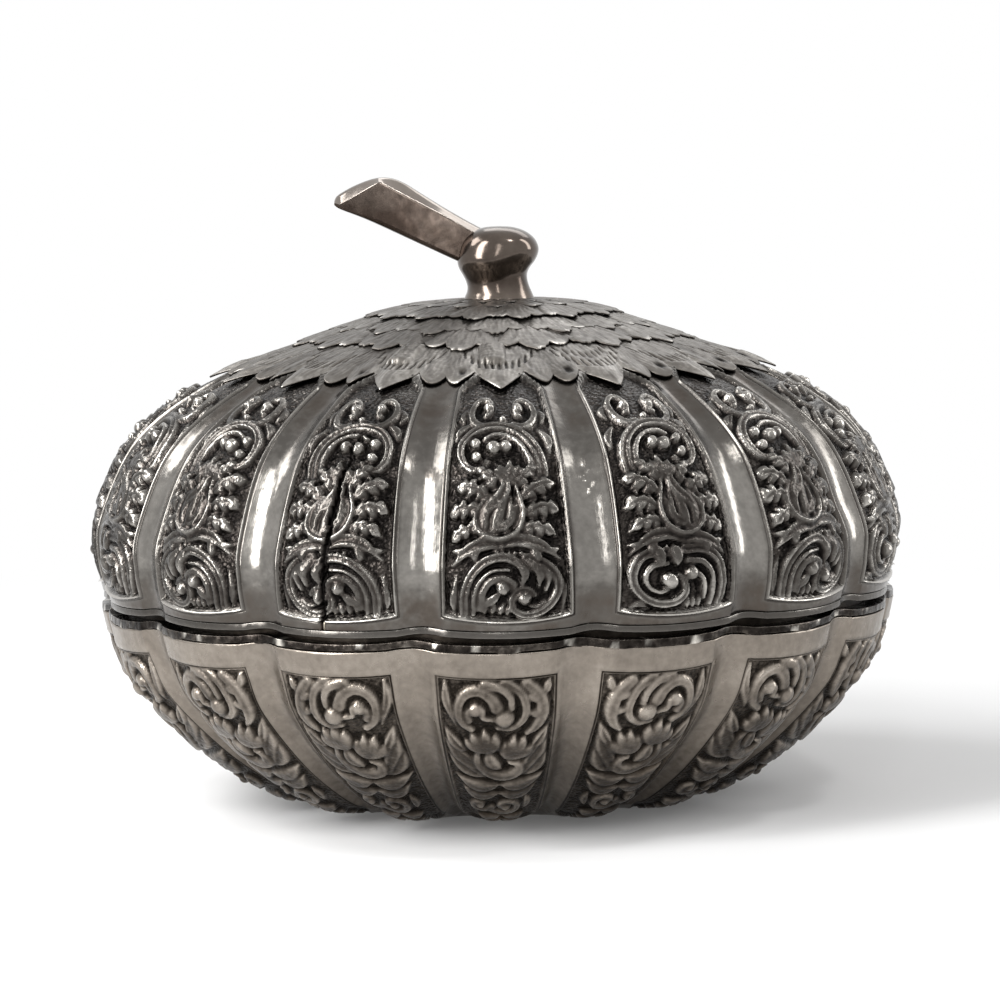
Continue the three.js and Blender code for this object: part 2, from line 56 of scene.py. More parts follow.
MM = 0.001
LOBES = 16
PITCH = 2 * math.pi / LOBES
JOINT = 40.5
BODY_RADIUS = 80.0
LID_RISE = 57.8
CROWN_RADIUS = 30.0
PLAIN_WEAR = 0.6
FLAT_WEAR = 0.58

Array = np.ndarray
ArrayPair = tuple[Array, Array]
Points = Sequence[tuple[float, float]]
Material = bpy.types.Material
NodeTree = bpy.types.NodeTree
SceneObject = bpy.types.Object
Socket = bpy.types.NodeSocket


def smooth(start: float, end: float, value: Array) -> Array:
    """Eases from 0 at start to 1 at end with level ends: 3t^2 - 2t^3.

    Args:
        start: value where the result leaves 0.
        end: value where the result reaches 1.
        value: where to work it out.

    Returns:
        The eased shares.
    """
    share = np.clip((value - start) / (end - start), 0, 1)
    return share * share * (3 - 2 * share)


def spline(points: Points, per_span: int, straight_ends: bool = True) -> Array:
    """A Catmull-Rom curve: each span is the cubic that leaves its ends along the chord between neighbours.

    Args:
        points: the corners that the curve passes through.
        per_span: how many steps each span has.
        straight_ends: whether it runs straight on past its ends, or else comes to rest in them.

    Returns:
        The points of the curve, one row each.
    """
    corners = np.array(points, float)
    before, after = corners[0], corners[-1]
    if straight_ends:
        before, after = 2 * before - corners[1], 2 * after - corners[-2]
    knots = np.array([before, *corners, after])
    spans = len(corners) - 1
    place = np.linspace(0, spans, per_span * spans + 1)
    first = np.minimum(place.astype(int), spans - 1)
    t = (place - first)[:, None]
    a, b, c, d = (knots[first + k] for k in range(4))
    cubic = 3 * b - a - 3 * c + d
    return 0.5 * (2 * b + (c - a) * t + (2 * a - 5 * b + 4 * c - d) * t**2 + cubic * t**3)


def box_blur(values: Array, reach: int) -> Array:
    """The mean over a square window, taken twice, so that it falls off like a bell.

    Args:
        values: a grid of numbers.
        reach: cells to each side of the middle one.

    Returns:
        The blurred grid, of the same size.
    """
    width = 2 * reach + 1
    for axis in (0, 1, 0, 1):
        pad = [(reach + 1, reach) if k == axis else (0, 0) for k in (0, 1)]
        sums = np.cumsum(np.pad(values, pad, mode="edge"), axis=axis)
        high = np.take(sums, np.arange(width, sums.shape[axis]), axis=axis)
        low = np.take(sums, np.arange(0, sums.shape[axis] - width), axis=axis)
        values = (high - low) / width
    return values


def around(r: Array | float, angle: Array, z: Array, centre: tuple[Array | float, float] = (0, 0)) -> Array:
    """Points round an upright axis, angles counted from the front towards +X.

    Args:
        r: radii.
        angle: angles in radians.
        z: heights.
        centre: where the axis stands.

    Returns:
        The points, with x, y and z last.
    """
    return np.stack([centre[0] + r * np.sin(angle), centre[1] - r * np.cos(angle), z], -1)


def circle(sides: int) -> Array:
    """Angles of a full turn in equal steps."""
    return np.arange(sides) * 2 * np.pi / sides


def round_phases(columns: int) -> Array:
    """Places round the body in pitches, so many to each lobe, from the rib before the front lobe."""
    return (np.arange(LOBES * columns) - columns / 2) / columns


@dataclass
class Canvas:
    """A panel laid flat, on which punches and tracers raise forms as heights over the ground.

    x runs across the panel from its middle line and s along it from its border line.
    """

    half: float
    length: float
    step: float = 0.12
    fullness: float = 1.0
    heights: Array = field(init=False)
    across: Array = field(init=False)
    along: Array = field(init=False)

    def __post_init__(self) -> None:
        """Lays out the cells."""
        self.across = np.arange(-self.half, self.half + self.step / 2, self.step)
        self.along = np.arange(-1.0, self.length + self.step / 2, self.step)
        self.heights = np.zeros((self.along.size, self.across.size))

    def stroke(
        self, points: Points, start: float, end: float, height: float, groove: float = 0.0, belly: float = 0.0
    ) -> None:
        """Raises a round ridge, height times (1 - q^2)^0.6 at q half widths; a negative height cuts.

        Args:
            points: corners of the stroke's middle line.
            start: half width at its first corner.
            end: half width at its last corner.
            height: height of its crest.
            groove: how deep a channel runs down its middle, as a share of the height.
            belly: how much wider it gets between its ends.
        """
        line = spline(points, per_span=9)
        share = np.linspace(0, 1, len(line))
        wide = start + (end - start) * share + belly * np.sin(np.pi * share) ** 1.2
        wide = np.maximum(wide * self.fullness, 0.14)
        low, high = line.min(0) - wide.max(), line.max(0) + wide.max()
        cols = slice(*np.searchsorted(self.across, [low[0], high[0]]))
        rows = slice(*np.searchsorted(self.along, [low[1], high[1]]))
        if cols.start >= cols.stop or rows.start >= rows.stop:
            return
        x, s = np.meshgrid(self.across[cols], self.along[rows])
        cell = np.stack([x.ravel(), s.ravel()], 1).astype(np.float32)
        first, step = line[:-1].astype(np.float32), np.diff(line, axis=0).astype(np.float32)
        reach = cell[:, None] - first[None]
        t = np.clip((reach * step).sum(2) / ((step**2).sum(1) + 1e-9), 0, 1)
        apart = np.hypot(reach[..., 0] - t * step[:, 0], reach[..., 1] - t * step[:, 1])
        q = apart / (wide[:-1] * (1 - t) + wide[1:] * t)
        nearest = q.argmin(1)
        pick = np.arange(len(cell))
        q = q[pick, nearest]
        ridge = np.clip(1 - q * q, 0, 1) ** 0.6 * (1 - groove * np.exp(-((q / 0.45) ** 2)))
        run = np.clip((nearest + t[pick, nearest]) / (len(line) - 1), 0.04, 0.96)
        rise = height * (0.6 + 0.4 * np.sin(np.pi * run) ** 0.5)
        view = self.heights[rows, cols]
        form = (ridge * rise).reshape(x.shape)
        view[...] = np.maximum(view, form) if height > 0 else np.clip(view + form, 0, None)

    def leaf(self, base: tuple, middle: tuple, tip: tuple, width: float, height: float,
             groove: float = 0.45) -> None:
        """A pointed leaf with a channel down its middle.

        Args:
            base: where it springs from.
            middle: the point it bends through.
            tip: its point.
            width: half width of its belly.
            height: height of its crest.
            groove: depth of its channel as a share of the height.
        """
        self.stroke([base, middle, tip], 0.25 * width, 0.08, height, groove, belly=width)

    def acanthus(self, base: tuple, middle: tuple, tip: tuple, width: float, height: float) -> None:
        """A full leaf with a crease down its middle and notches cut in from its sides.

        Args:
            base: where it springs from.
            middle: the point it bends through.
            tip: its point.
            width: half width of its belly.
            height: height of its crest.
        """
        self.leaf(base, middle, tip, width, height, 0.0)
        self.stroke([base, middle, tip], 0.3, 0.2, -0.35)
        reach = math.dist(base, tip)
        ahead = np.subtract(tip, base) / reach
        out = np.array([-ahead[1], ahead[0]])
        for share, hand in ((0.32, 1), (0.36, -1), (0.62, 1), (0.66, -1)):
            root = np.add(middle, ahead * (share - 0.5) * reach) + out * hand * 0.35 * width
            self.stroke([tuple(root), tuple(root + ahead * 0.8 + out * hand * width * 1.3)], 0.14, 0.38, -0.8)

    def bead(self, x: float, s: float, radius: float, height: float) -> None:
        """A round boss: height times the root of 1 minus the squared distance in radii.

        Args:
            x: its centre across the panel.
            s: its centre along the panel.
            radius: its radius.
            height: its height.
        """
        gap = (self.across[None, :] - x) ** 2 + (self.along[:, None] - s) ** 2
        boss = height * np.sqrt(np.clip(1 - gap / (radius * self.fullness) ** 2, 0, 1))
        np.maximum(self.heights, boss, out=self.heights)

    def volute(
        self, centre: tuple, radii: tuple, angles: tuple, widths: tuple, height: float, groove: float = 0.5
    ) -> None:
        """A spiral band: the radius goes from one value to the other as the angle turns.

        Args:
            centre: its eye.
            radii: radius at the start and at the end.
            angles: angle in degrees at the start and at the end.
            widths: half width at the start and at the end.
            height: height of its crest.
            groove: depth of its channel as a share of the height.
        """
        share = np.linspace(0, 1, max(4, int(abs(angles[1] - angles[0]) / 35) + 1))
        angle = np.radians(angles[0] + (angles[1] - angles[0]) * share)
        radius = radii[0] + (radii[1] - radii[0]) * share**0.8
        path = np.stack([centre[0] + radius * np.cos(angle), centre[1] + radius * np.sin(angle)], 1)
        self.stroke(path, widths[0], widths[1], height, groove)

    def finished(self) -> Array:
        """The heights with their sharpest corners planished off."""
        return box_blur(self.heights, reach=1)


class Zone(Enum):
    """Parts of a panel's ornament that can be turned left for right on their own."""

    SCROLL = "scroll"
    FLOWER = "flower"
    ARCH = "arch"
    CREST = "crest"


class Hand(Enum):
    """Which way round an ornament faces."""

    PLAIN = 1
    TURNED = -1


@dataclass
class Ornament:
    """What a panel carries: forms in zones, each zone drawn on a panel of its own."""

    half: float = 11.6
    length: float = 60.0
    fullness: float = 1.14

    def canvas(self) -> Canvas:
        """An empty panel."""
        return Canvas(self.half, self.length, fullness=self.fullness)


class LidOrnament(Ornament):
    """Scrolls, a bud among acanthus leaves, an arched scroll and two volutes, from the rim upwards."""

    def double_scroll(self) -> Array:
        """The big scroll by the rim: a doubled band on one side, a ring and three claws on the other."""
        c = self.canvas()
        c.stroke([(-7.9, 0.9), (-8.0, 4.5), (-6.6, 8.1), (-3.7, 10.8), (-0.2, 11.7), (2.2, 10.6)], 0.85, 0.95,
                 1.45, 0.6)
        c.stroke([(-6.2, 0.8), (-6.3, 4.2), (-5.2, 7.0), (-2.8, 9.0), (0.2, 9.4)], 0.6, 0.45, 1.1)
        c.stroke([(-5.0, 2.0), (-4.7, 4.9), (-3.3, 7.0), (-1.1, 7.9), (0.9, 7.0), (0.4, 5.9)], 0.8, 0.6, 1.35,
                 0.25)
        c.bead(-1.1, 6.0, 1.35, 1.6)
        c.leaf((-1.4, 5.4), (-3.1, 3.6), (-4.9, 2.4), 0.8, 1.2, 0.3)
        ring = [(3.6, 11.8), (6.5, 10.7), (8.6, 8.1), (8.7, 5.0), (6.9, 2.3), (3.8, 1.1), (1.2, 1.9),
                (0.5, 3.8), (1.6, 5.6), (3.4, 5.9), (4.5, 4.8)]
        c.stroke(ring, 1.0, 0.5, 1.5, 0.62)
        c.bead(2.7, 4.2, 1.3, 1.5)
        c.stroke([(1.9, 10.7), (3.0, 8.9), (2.3, 6.9)], 0.9, 0.5, 1.3, 0.15, 0.3)
        c.stroke([(3.9, 11.0), (5.6, 9.0), (5.3, 6.4)], 0.95, 0.4, 1.35, 0.15, 0.4)
        c.stroke([(6.2, 9.9), (7.2, 7.9), (6.5, 5.4)], 0.7, 0.3, 1.15, 0.0, 0.2)
        c.stroke([(6.4, 3.4), (4.8, 2.6), (3.2, 2.9)], 0.4, 0.3, 0.9)
        for x in (-4.4, -3.0, -1.6, -0.3):
            c.leaf((x, 0.6), (x + 0.2, 1.8), (x + 0.7, 3.0), 0.5, 0.8, 0.0)
        c.leaf((-9.7, 0.8), (-10.0, 4.0), (-9.3, 8.2), 0.6, 0.95)
        c.leaf((9.9, 8.0), (10.1, 5.0), (9.7, 1.0), 0.45, 0.8)
        return c.finished()

    def ringed_scroll(self) -> Array:
        """The second kind of scroll by the rim: a ring round a bead, and bands that arch over it."""
        c = self.canvas()
        ring = [(-2.8, 11.5), (-7.2, 10.9), (-9.2, 8.0), (-9.0, 5.0), (-7.0, 2.7), (-4.2, 1.8), (-0.9, 2.4),
                (1.0, 4.4), (0.2, 6.7), (-1.7, 7.0)]
        c.stroke(ring, 1.1, 0.55, 1.5, 0.62)
        c.stroke([(-2.8, 9.4), (-5.6, 8.8), (-7.0, 6.8), (-6.2, 4.7), (-4.2, 4.0), (-2.6, 4.6)], 0.75, 0.5,
                 1.2, 0.2)
        c.bead(-2.2, 6.2, 1.6, 1.6)
        c.leaf((-5.0, 12.8), (-4.2, 10.9), (-3.6, 8.6), 1.1, 1.35, 0.2)
        c.leaf((-1.6, 13.0), (-0.8, 10.9), (-1.0, 8.7), 1.1, 1.4, 0.2)
        c.stroke([(0.8, 12.0), (4.8, 11.8), (8.0, 9.6), (9.2, 6.0), (8.8, 2.6), (8.2, 0.9)], 1.0, 0.7, 1.5,
                 0.6)
        c.stroke([(1.6, 9.9), (4.6, 9.4), (6.7, 6.9), (6.7, 3.4), (6.2, 1.0)], 0.75, 0.5, 1.2, 0.2)
        c.bead(2.2, 7.5, 1.35, 1.5)
        c.stroke([(3.4, 7.6), (4.8, 5.6), (4.7, 2.4)], 0.75, 0.4, 1.15)
        for x in (1.0, 2.2, 3.4):
            c.leaf((x, 0.6), (x + 0.2, 1.8), (x + 0.5, 3.0), 0.5, 0.8, 0.0)
        c.leaf((-9.9, 0.7), (-8.2, 1.5), (-6.4, 0.6), 0.5, 0.85)
        return c.finished()

    def flower(self) -> Array:
        """A full bud with a stippled heart over two long leaves, with five creased leaves on each side."""
        c = self.canvas()
        sides = (
            ((-4.4, 17.0), (-7.2, 16.7), (-9.7, 14.5), 1.25),
            ((-4.6, 19.8), (-7.3, 20.8), (-10.1, 19.4), 1.45),
            ((-3.6, 22.4), (-5.9, 24.5), (-9.3, 24.7), 1.45),
            ((-2.0, 24.2), (-3.3, 26.8), (-5.4, 28.8), 1.05),
            ((3.2, 16.8), (6.0, 17.4), (9.3, 15.6), 1.25),
            ((3.6, 19.6), (6.4, 21.0), (9.8, 20.0), 1.4),
            ((2.8, 22.6), (5.4, 25.0), (9.0, 25.6), 1.4),
            ((1.8, 24.8), (3.4, 27.4), (5.6, 29.4), 1.0),
        )
        for base, middle, tip, width in sides:
            c.acanthus(base, middle, tip, width * 1.3, 1.5)
        c.stroke([(-0.4, 13.9), (2.4, 14.9), (6.2, 14.0), (9.7, 11.2)], 0.7, 0.1, 1.5, 0.5, 1.0)
        c.stroke([(-1.0, 13.7), (-3.4, 14.1), (-6.8, 12.9), (-9.9, 10.2)], 0.7, 0.1, 1.5, 0.5, 1.0)
        for hand in (-1, 1):
            c.leaf((4.4 * hand, 13.4), (5.5 * hand, 12.2), (5.6 * hand, 10.6), 0.75, 1.25, 0.2)
            c.leaf((7.2 * hand, 13.4), (8.4 * hand, 13.0), (9.9 * hand, 13.2), 0.6, 1.15, 0.2)
        for x in (-1.7, -0.6, 0.5, 1.6, 2.7):
            c.bead(x, 12.6, 0.42, 0.95)
        c.stroke([(-1.0, 16.4), (-1.4, 19.0), (0.2, 24.2)], 1.4, 0.3, 1.45, 0.0, 3.3)
        beside, along = np.meshgrid(c.across, c.along)
        heart = np.exp(-((((beside + 1.0) / 2.2) ** 2 + ((along - 18.6) / 2.8) ** 2) ** 2))
        c.heights -= 0.16 * heart * (1 + np.cos(10.5 * beside + 2) * np.cos(11.3 * along))
        rim = [(0.9, 27.0), (2.0, 23.6), (3.1, 20.0), (2.2, 16.6), (-0.9, 14.9), (-4.2, 15.8), (-5.4, 18.4),
               (-4.6, 21.0), (-2.8, 23.0)]
        c.stroke(rim, 0.25, 0.4, 1.5, 0.0, 0.3)
        for path in ([(-2.8, 16.6), (-2.4, 19.6), (-0.4, 23.0)], [(1.0, 16.9), (1.6, 19.6), (1.0, 23.4)],
                     [(-0.6, 16.0), (0.0, 19.0), (0.4, 22.6)]):
            c.stroke(path, 0.42, 0.2, -0.55)
        c.stroke([(-3.8, 17.4), (-3.0, 20.4), (-0.9, 22.8), (-0.2, 25.0), (-0.9, 27.6)], 0.3, 0.3, 1.95, 0.5,
                 1.0)
        c.stroke([(1.6, 21.2), (0.8, 18.2), (-1.0, 16.9), (-2.2, 18.4)], 0.3, 0.3, 1.8, 0.4, 0.6)
        return c.finished()

    def arch(self) -> Array:
        """A flame of leaves under a broad scroll that arches over it and curls in round a bead."""
        c = self.canvas()
        for x, s in ((-2.2, 27.8), (-1.1, 29.6), (0.9, 30.8), (2.5, 29.6), (3.7, 27.6)):
            c.leaf((0.6, 24.8), (0.6 * x + 0.2, 27.0), (x, s), 1.0, 1.45, 0.3)
        band = [(6.4, 26.2), (6.6, 29.8), (5.4, 34.2), (2.7, 37.4), (-0.8, 38.5), (-4.5, 37.6), (-7.0, 34.8),
                (-7.6, 31.3), (-6.4, 28.7), (-4.3, 28.3), (-3.2, 29.9)]
        c.stroke(band, 1.2, 0.55, 1.5, 0.62)
        c.stroke([(4.5, 27.2), (4.6, 30.2), (3.3, 33.7), (1.2, 35.6), (-1.3, 36.1), (-3.0, 35.3)], 0.75, 0.5,
                 1.2, 0.1)
        c.bead(-4.8, 34.1, 1.15, 1.35)
        c.bead(-1.7, 32.9, 1.45, 1.6)
        c.bead(0.5, 33.4, 1.2, 1.45)
        c.bead(-4.9, 30.9, 1.1, 1.45)
        c.leaf((8.4, 32.8), (8.4, 35.8), (6.6, 38.6), 0.7, 1.05)
        c.leaf((-8.3, 36.0), (-7.6, 38.2), (-5.2, 39.8), 0.7, 1.05)
        return c.finished()

    def crest(self) -> Array:
        """Two tall volutes back to back, just under the mantle's leaves."""
        c = self.canvas()
        for hand in (-1, 1):
            turn = np.radians(np.linspace(-62, -430, 14))
            size = np.linspace(1, 0.22, 14) ** 0.8
            loop = [(hand * (3.6 - 3.2 * k * math.cos(t)), 43.2 + 4.8 * k * math.sin(t))
                    for t, k in zip(turn, size)]
            c.stroke(loop, 0.9, 0.45, 1.4, 0.35)
            c.bead(hand * 2.9, 43.6, 1.15, 1.5)
            c.leaf((7.4 * hand, 40.4), (7.9 * hand, 42.6), (6.9 * hand, 44.6), 0.6, 0.95)
        c.bead(0.0, 40.3, 0.8, 1.15)
        return c.finished()

    def zones(self) -> dict[Zone, tuple[Array, ...]]:
        """Each zone's kinds of ornament."""
        return {
            Zone.SCROLL: (self.double_scroll(), self.ringed_scroll()),
            Zone.FLOWER: (self.flower(),),
            Zone.ARCH: (self.arch(),),
            Zone.CREST: (self.crest(),),
        }


@dataclass
class BaseOrnament(Ornament):
    """Scrolls under the rim, a palmette and bud, then leaves and small volutes down to the foot."""

    length: float = 56.0
    fullness: float = 1.2

    def scrolls(self) -> Array:
        """Two fleshy scrolls with a bead in each and a long lobed leaf beside them."""
        c = self.canvas()
        c.stroke([(-0.2, 6.0), (-1.3, 3.7), (-3.7, 2.3), (-6.3, 3.3), (-7.4, 6.2), (-6.6, 9.4), (-4.7, 11.2)],
                 1.3, 0.7, 1.35, 0.25)
        c.stroke([(-5.3, 8.8), (-5.6, 6.9), (-4.2, 5.4), (-2.9, 6.2), (-2.7, 7.9), (-0.9, 8.6)], 0.8, 0.55,
                 1.25, 0.1)
        c.bead(-4.2, 6.2, 1.3, 1.45)
        c.stroke([(-2.2, 1.2), (0.6, 1.9), (2.3, 3.9), (2.5, 6.2)], 1.05, 0.65, 1.35, 0.2)
        c.stroke([(1.6, 1.0), (4.2, 3.0), (5.2, 6.2), (4.6, 9.1), (2.6, 10.9), (0.2, 10.7)], 1.0, 0.6, 1.35,
                 0.3)
        c.bead(1.3, 8.5, 1.75, 1.55)
        c.stroke([(5.6, 1.5), (7.9, 4.2), (8.3, 8.2), (7.2, 11.2), (5.6, 13.0)], 1.1, 0.45, 1.35, 0.3, 0.5)
        c.leaf((8.2, 4.6), (6.8, 4.4), (5.6, 3.4), 0.8, 1.2, 0.1)
        c.leaf((8.4, 7.6), (7.0, 7.8), (5.8, 7.0), 0.8, 1.2, 0.1)
        c.leaf((8.6, 3.6), (9.4, 2.4), (9.9, 0.8), 0.6, 1.05)
        c.leaf((-9.7, 0.8), (-9.6, 5.0), (-7.6, 10.8), 0.75, 1.15)
        return c.finished()

    def palmette(self) -> Array:
        """Two clusters of petals over an open bud, with long slanting leaves on each side."""
        c = self.canvas()
        clusters = (((-0.8, 17.4), ((-5.8, 14.2), (-4.7, 11.9), (-2.4, 11.1), (-0.2, 12.3))),
                    ((1.8, 19.8), ((1.6, 14.6), (3.4, 13.2), (5.4, 13.6), (6.8, 16.2))))
        for root, tips in clusters:
            for x, s in tips:
                c.leaf(root, (0.5 * (root[0] + x) + 0.15 * (x - root[0]), 0.5 * (root[1] + s)), (x, s), 1.15,
                       1.45, 0.15)
        sides = (
            ((-2.6, 22.8), (-6.4, 20.0), (-9.6, 15.0), 1.35),
            ((-2.6, 25.2), (-6.2, 23.2), (-9.3, 19.2), 1.25),
            ((-5.6, 17.4), (-7.6, 15.8), (-9.7, 12.0), 0.9),
            ((4.2, 23.0), (7.0, 19.8), (9.6, 14.4), 1.35),
            ((4.0, 25.4), (6.8, 23.0), (9.3, 18.6), 1.25),
            ((6.4, 17.0), (8.0, 15.2), (9.5, 11.8), 0.85),
        )
        for base, middle, tip, width in sides:
            c.leaf(base, middle, tip, width * 1.05, 1.35, 0.4)
            c.stroke([(0.5 * (base[0] + middle[0]), middle[1] + 0.9), tip], 0.3, 0.14, -0.3)
        c.stroke([(-3.4, 16.8), (-3.8, 20.2), (-2.2, 23.2), (0.6, 24.8), (3.2, 23.9), (3.6, 21.8),
                  (2.0, 20.9)], 0.5, 0.4, 1.6, 0.2, 1.0)
        c.stroke([(-1.6, 17.6), (-1.2, 20.4), (0.4, 22.4)], 0.5, 0.3, 1.7, 0.3, 1.0)
        return c.finished()

    def spray(self) -> Array:
        """Pairs of leaves, then two small volutes and leaves that shrink towards the foot."""
        c = self.canvas()
        for s, reach, wide in ((27.6, 8.2, 1.5), (31.0, 7.2, 1.4)):
            for hand in (-1, 1):
                c.leaf((0.3 * hand, s + 0.6), (3.9 * hand, s + 1.3), (reach * hand, s - 1.4), wide, 1.35,
                       0.25)
        c.volute((1.5, 37.0), (3.8, 1.0), (150, -230), (1.0, 0.5), 1.35, 0.3)
        c.bead(1.5, 37.0, 1.15, 1.45)
        c.volute((-4.0, 36.6), (2.8, 0.9), (20, 330), (0.85, 0.45), 1.25, 0.3)
        c.bead(-4.0, 36.6, 1.0, 1.3)
        c.leaf((5.8, 34.4), (6.2, 37.0), (5.4, 39.8), 0.7, 1.1)
        for s, reach in ((42.2, 5.4), (45.4, 4.6), (48.6, 3.8), (51.4, 3.0)):
            for hand in (-1, 1):
                c.leaf((0.2 * hand, s), (0.55 * reach * hand, s + 1.3), (reach * hand, s + 0.2), 1.1, 1.2,
                       0.3)
        return c.finished()

    def zones(self) -> dict[Zone, tuple[Array, ...]]:
        """Each zone's kinds of ornament."""
        return {Zone.SCROLL: (self.scrolls(),), Zone.FLOWER: (self.palmette(),), Zone.CREST: (self.spray(),)}


@dataclass(frozen=True)
class Meridian:
    """A sheet's profile from the joint towards the pole, as a smooth curve through stations.

    The tables give radius, height and outward normal against arc length from the joint.
    """

    arc: Array
    spots: Array
    normals: Array

    @staticmethod
    def through(stations: Points, from_joint: bool) -> "Meridian":
        """Builds the tables.

        Args:
            stations: radius and height of each station, in the order in which the outside is on the right.
            from_joint: whether the first station is the one at the joint.

        Returns:
            The meridian, counted from the joint.
        """
        line = spline(stations, per_span=300, straight_ends=False)
        ahead = np.gradient(line, axis=0)
        ahead /= np.linalg.norm(ahead, axis=1, keepdims=True)
        out = np.stack([ahead[:, 1], -ahead[:, 0]], 1)
        if not from_joint:
            line, out = line[::-1], out[::-1]
        arc = np.concatenate([[0], np.cumsum(np.linalg.norm(np.diff(line, axis=0), axis=1))])
        return Meridian(arc, line, out)

    def at(self, arc: Array) -> tuple[Array, Array, Array, Array]:
        """Radius, height and outward normal at arc lengths from the joint.

        Args:
            arc: the arc lengths.

        Returns:
            Arrays r, z, nr and nz. Right at the joint the normal lies level.
        """
        r, z = (np.interp(arc, self.arc, self.spots[:, k]) for k in (0, 1))
        nr, nz = (np.interp(arc, self.arc, self.normals[:, k]) for k in (0, 1))
        level = 1 - smooth(0.0, 0.8, arc)
        nr, nz = nr + (1 - nr) * level, nz * (1 - level)
        return r, z, nr, nz

    def arc_at_radius(self, radius: Array) -> Array:
        """The arc length, past the widest place, at which the radius is the one asked for.

        Args:
            radius: the radii.

        Returns:
            The arc lengths.
        """
        widest = int(self.spots[:, 0].argmax())
        radii, arcs = self.spots[widest:, 0], self.arc[widest:]
        return np.interp(-np.asarray(radius), -radii, arcs)


LID_STATIONS = ((0.979, 0.033), (0.999, 0.158), (0.993, 0.298), (0.899, 0.561), (0.729, 0.739),
                (0.538, 0.828), (0.375, 0.9), (0.225, 0.956), (0.045, 0.975))
BASE_STATIONS = ((0.36, 0.992), (0.52, 0.962), (0.61, 0.912), (0.766, 0.7), (0.916, 0.4), (0.963, 0.208),
                 (0.983, 0.049))
LID_MERIDIAN = Meridian.through([(BODY_RADIUS * r, JOINT + LID_RISE * z) for r, z in LID_STATIONS],
                                from_joint=True)
BASE_MERIDIAN = Meridian.through([(BODY_RADIUS * r, JOINT - JOINT * z) for r, z in BASE_STATIONS],
                                 from_joint=False)


@dataclass(frozen=True)
class Lobes:
    """Sixteen raised panels with hollow ribs between them, on one sheet.

    The valley share is 0.45 (across/half)^2 over a panel, and goes on to 1 along a quarter sine over a rib.
    """

    meridian: Meridian
    turn: float
    spread: float
    full_depth: float
    fade: tuple[float, float]
    panel_half: tuple[float, float]
    rim_depth: float = 2.0
    growth: float = 14.0
    wave: float = 0.8
    wave_fade: float = 15.0

    def half_at(self, arc: Array) -> Array:
        """Half a panel's width in pitches, changing evenly over the first 50 mm."""
        return self.panel_half[0] + (self.panel_half[1] - self.panel_half[0]) * np.clip(arc / 50, 0, 1)

    def valley(self, phase: Array, half: Array) -> Array:
        """How far down the valley a point lies.

        Args:
            phase: place round the body, in pitches.
            half: half a panel's width there, in pitches.

        Returns:
            0 on a panel's middle line and 1 on a rib's.
        """
        across = np.abs(phase - np.round(phase))
        down = np.clip((across - half) / (0.5 - half), 0, 1)
        return np.where(across <= half, 0.45 * (across / half) ** 2, 0.45 + 0.55 * np.sin(down * np.pi / 2))

    def angle(self, phase: Array) -> Array:
        """The angle from the front: even pitches, spread a little over the front half."""
        even = phase * PITCH
        return even + math.radians(self.turn) + math.radians(self.spread) * np.sin(even)

    def place(self, phase: Array, arc: Array, offset: Array, off_centre: float = 0.0) -> Array:
        """Points of the sheet, offset outwards along its meridian's normal.

        Args:
            phase: place round the body, in pitches.
            arc: arc length from the joint.
            offset: how far out from the plain lobed surface.
            off_centre: sideways shift of the crown.

        Returns:
            The points, with x, y and z last.
        """
        r, z, nr, nz = self.meridian.at(arc)
        valley = self.valley(phase, self.half_at(arc))
        grown = smooth(0, self.growth, np.abs(z - JOINT))
        depth = (self.rim_depth + (self.full_depth - self.rim_depth) * grown) * smooth(*self.fade, r)
        out = offset - depth * valley
        lift = self.wave * valley * (1 - smooth(0, self.wave_fade, np.abs(z - JOINT)))
        r, z = r + nr * out, z + nz * out + lift
        angle = self.angle(phase)
        shift = off_centre * np.clip(1 - r / CROWN_RADIUS, 0, 1)
        return around(r, angle, z, (shift, 0.0))


LID_LOBES = Lobes(
    LID_MERIDIAN, turn=1.3, spread=1.6, full_depth=2.6, fade=(40.0, 62.0), panel_half=(0.362, 0.335)
)
BASE_LOBES = Lobes(
    BASE_MERIDIAN, turn=-0.4, spread=0.0, full_depth=3.5, fade=(29.0, 44.0), panel_half=(0.357, 0.385)
)


def grid_quads(rows: int, cols: int, round_rows: bool = False, round_cols: bool = False) -> Array:
    """Faces of a grid whose points run column by column within each row.

    Args:
        rows: number of rows.
        cols: number of columns.
        round_rows: whether the last row joins the first.
        round_cols: whether the last column joins the first.

    Returns:
        Corner numbers, four to a face, anticlockwise for rows that go up and columns that go right.
    """
    i, j = np.meshgrid(np.arange(rows - (not round_rows)), np.arange(cols - (not round_cols)), indexing="ij")
    up, right = (i + 1) % rows, (j + 1) % cols
    return np.stack([i * cols + j, i * cols + right, up * cols + right, up * cols + j], -1).reshape(-1, 4)


def end_fans(rows: int, cols: int) -> list[tuple[int, ...]]:
    """The two faces that close a round grid at its first and its last row."""
    last = (rows - 1) * cols
    return [tuple(range(cols))[::-1], tuple(range(last, last + cols))]


def finish_values(wear: Array | float, shape: tuple[int, ...], stain: Array | float = 0.0) -> Array:
    """Finish values of points without matting.

    Args:
        wear: how burnished each point is.
        shape: rows and columns of the points.
        stain: how stained each point is.

    Returns:
        Three values for each point.
    """
    values = np.zeros((*shape, 3))
    values[..., 0], values[..., 2] = wear, stain
    return values


def linked(name: str, data: bpy.types.ID) -> SceneObject:
    """A new object in the scene."""
    thing = bpy.data.objects.new(name, data)
    bpy.context.scene.collection.objects.link(thing)
    return thing


@dataclass(frozen=True)
class Label:
    """A piece's name, the body it moves with, the slot of its finish and the node that it stands for."""

    name: str
    body: str
    slot: str
    node: str


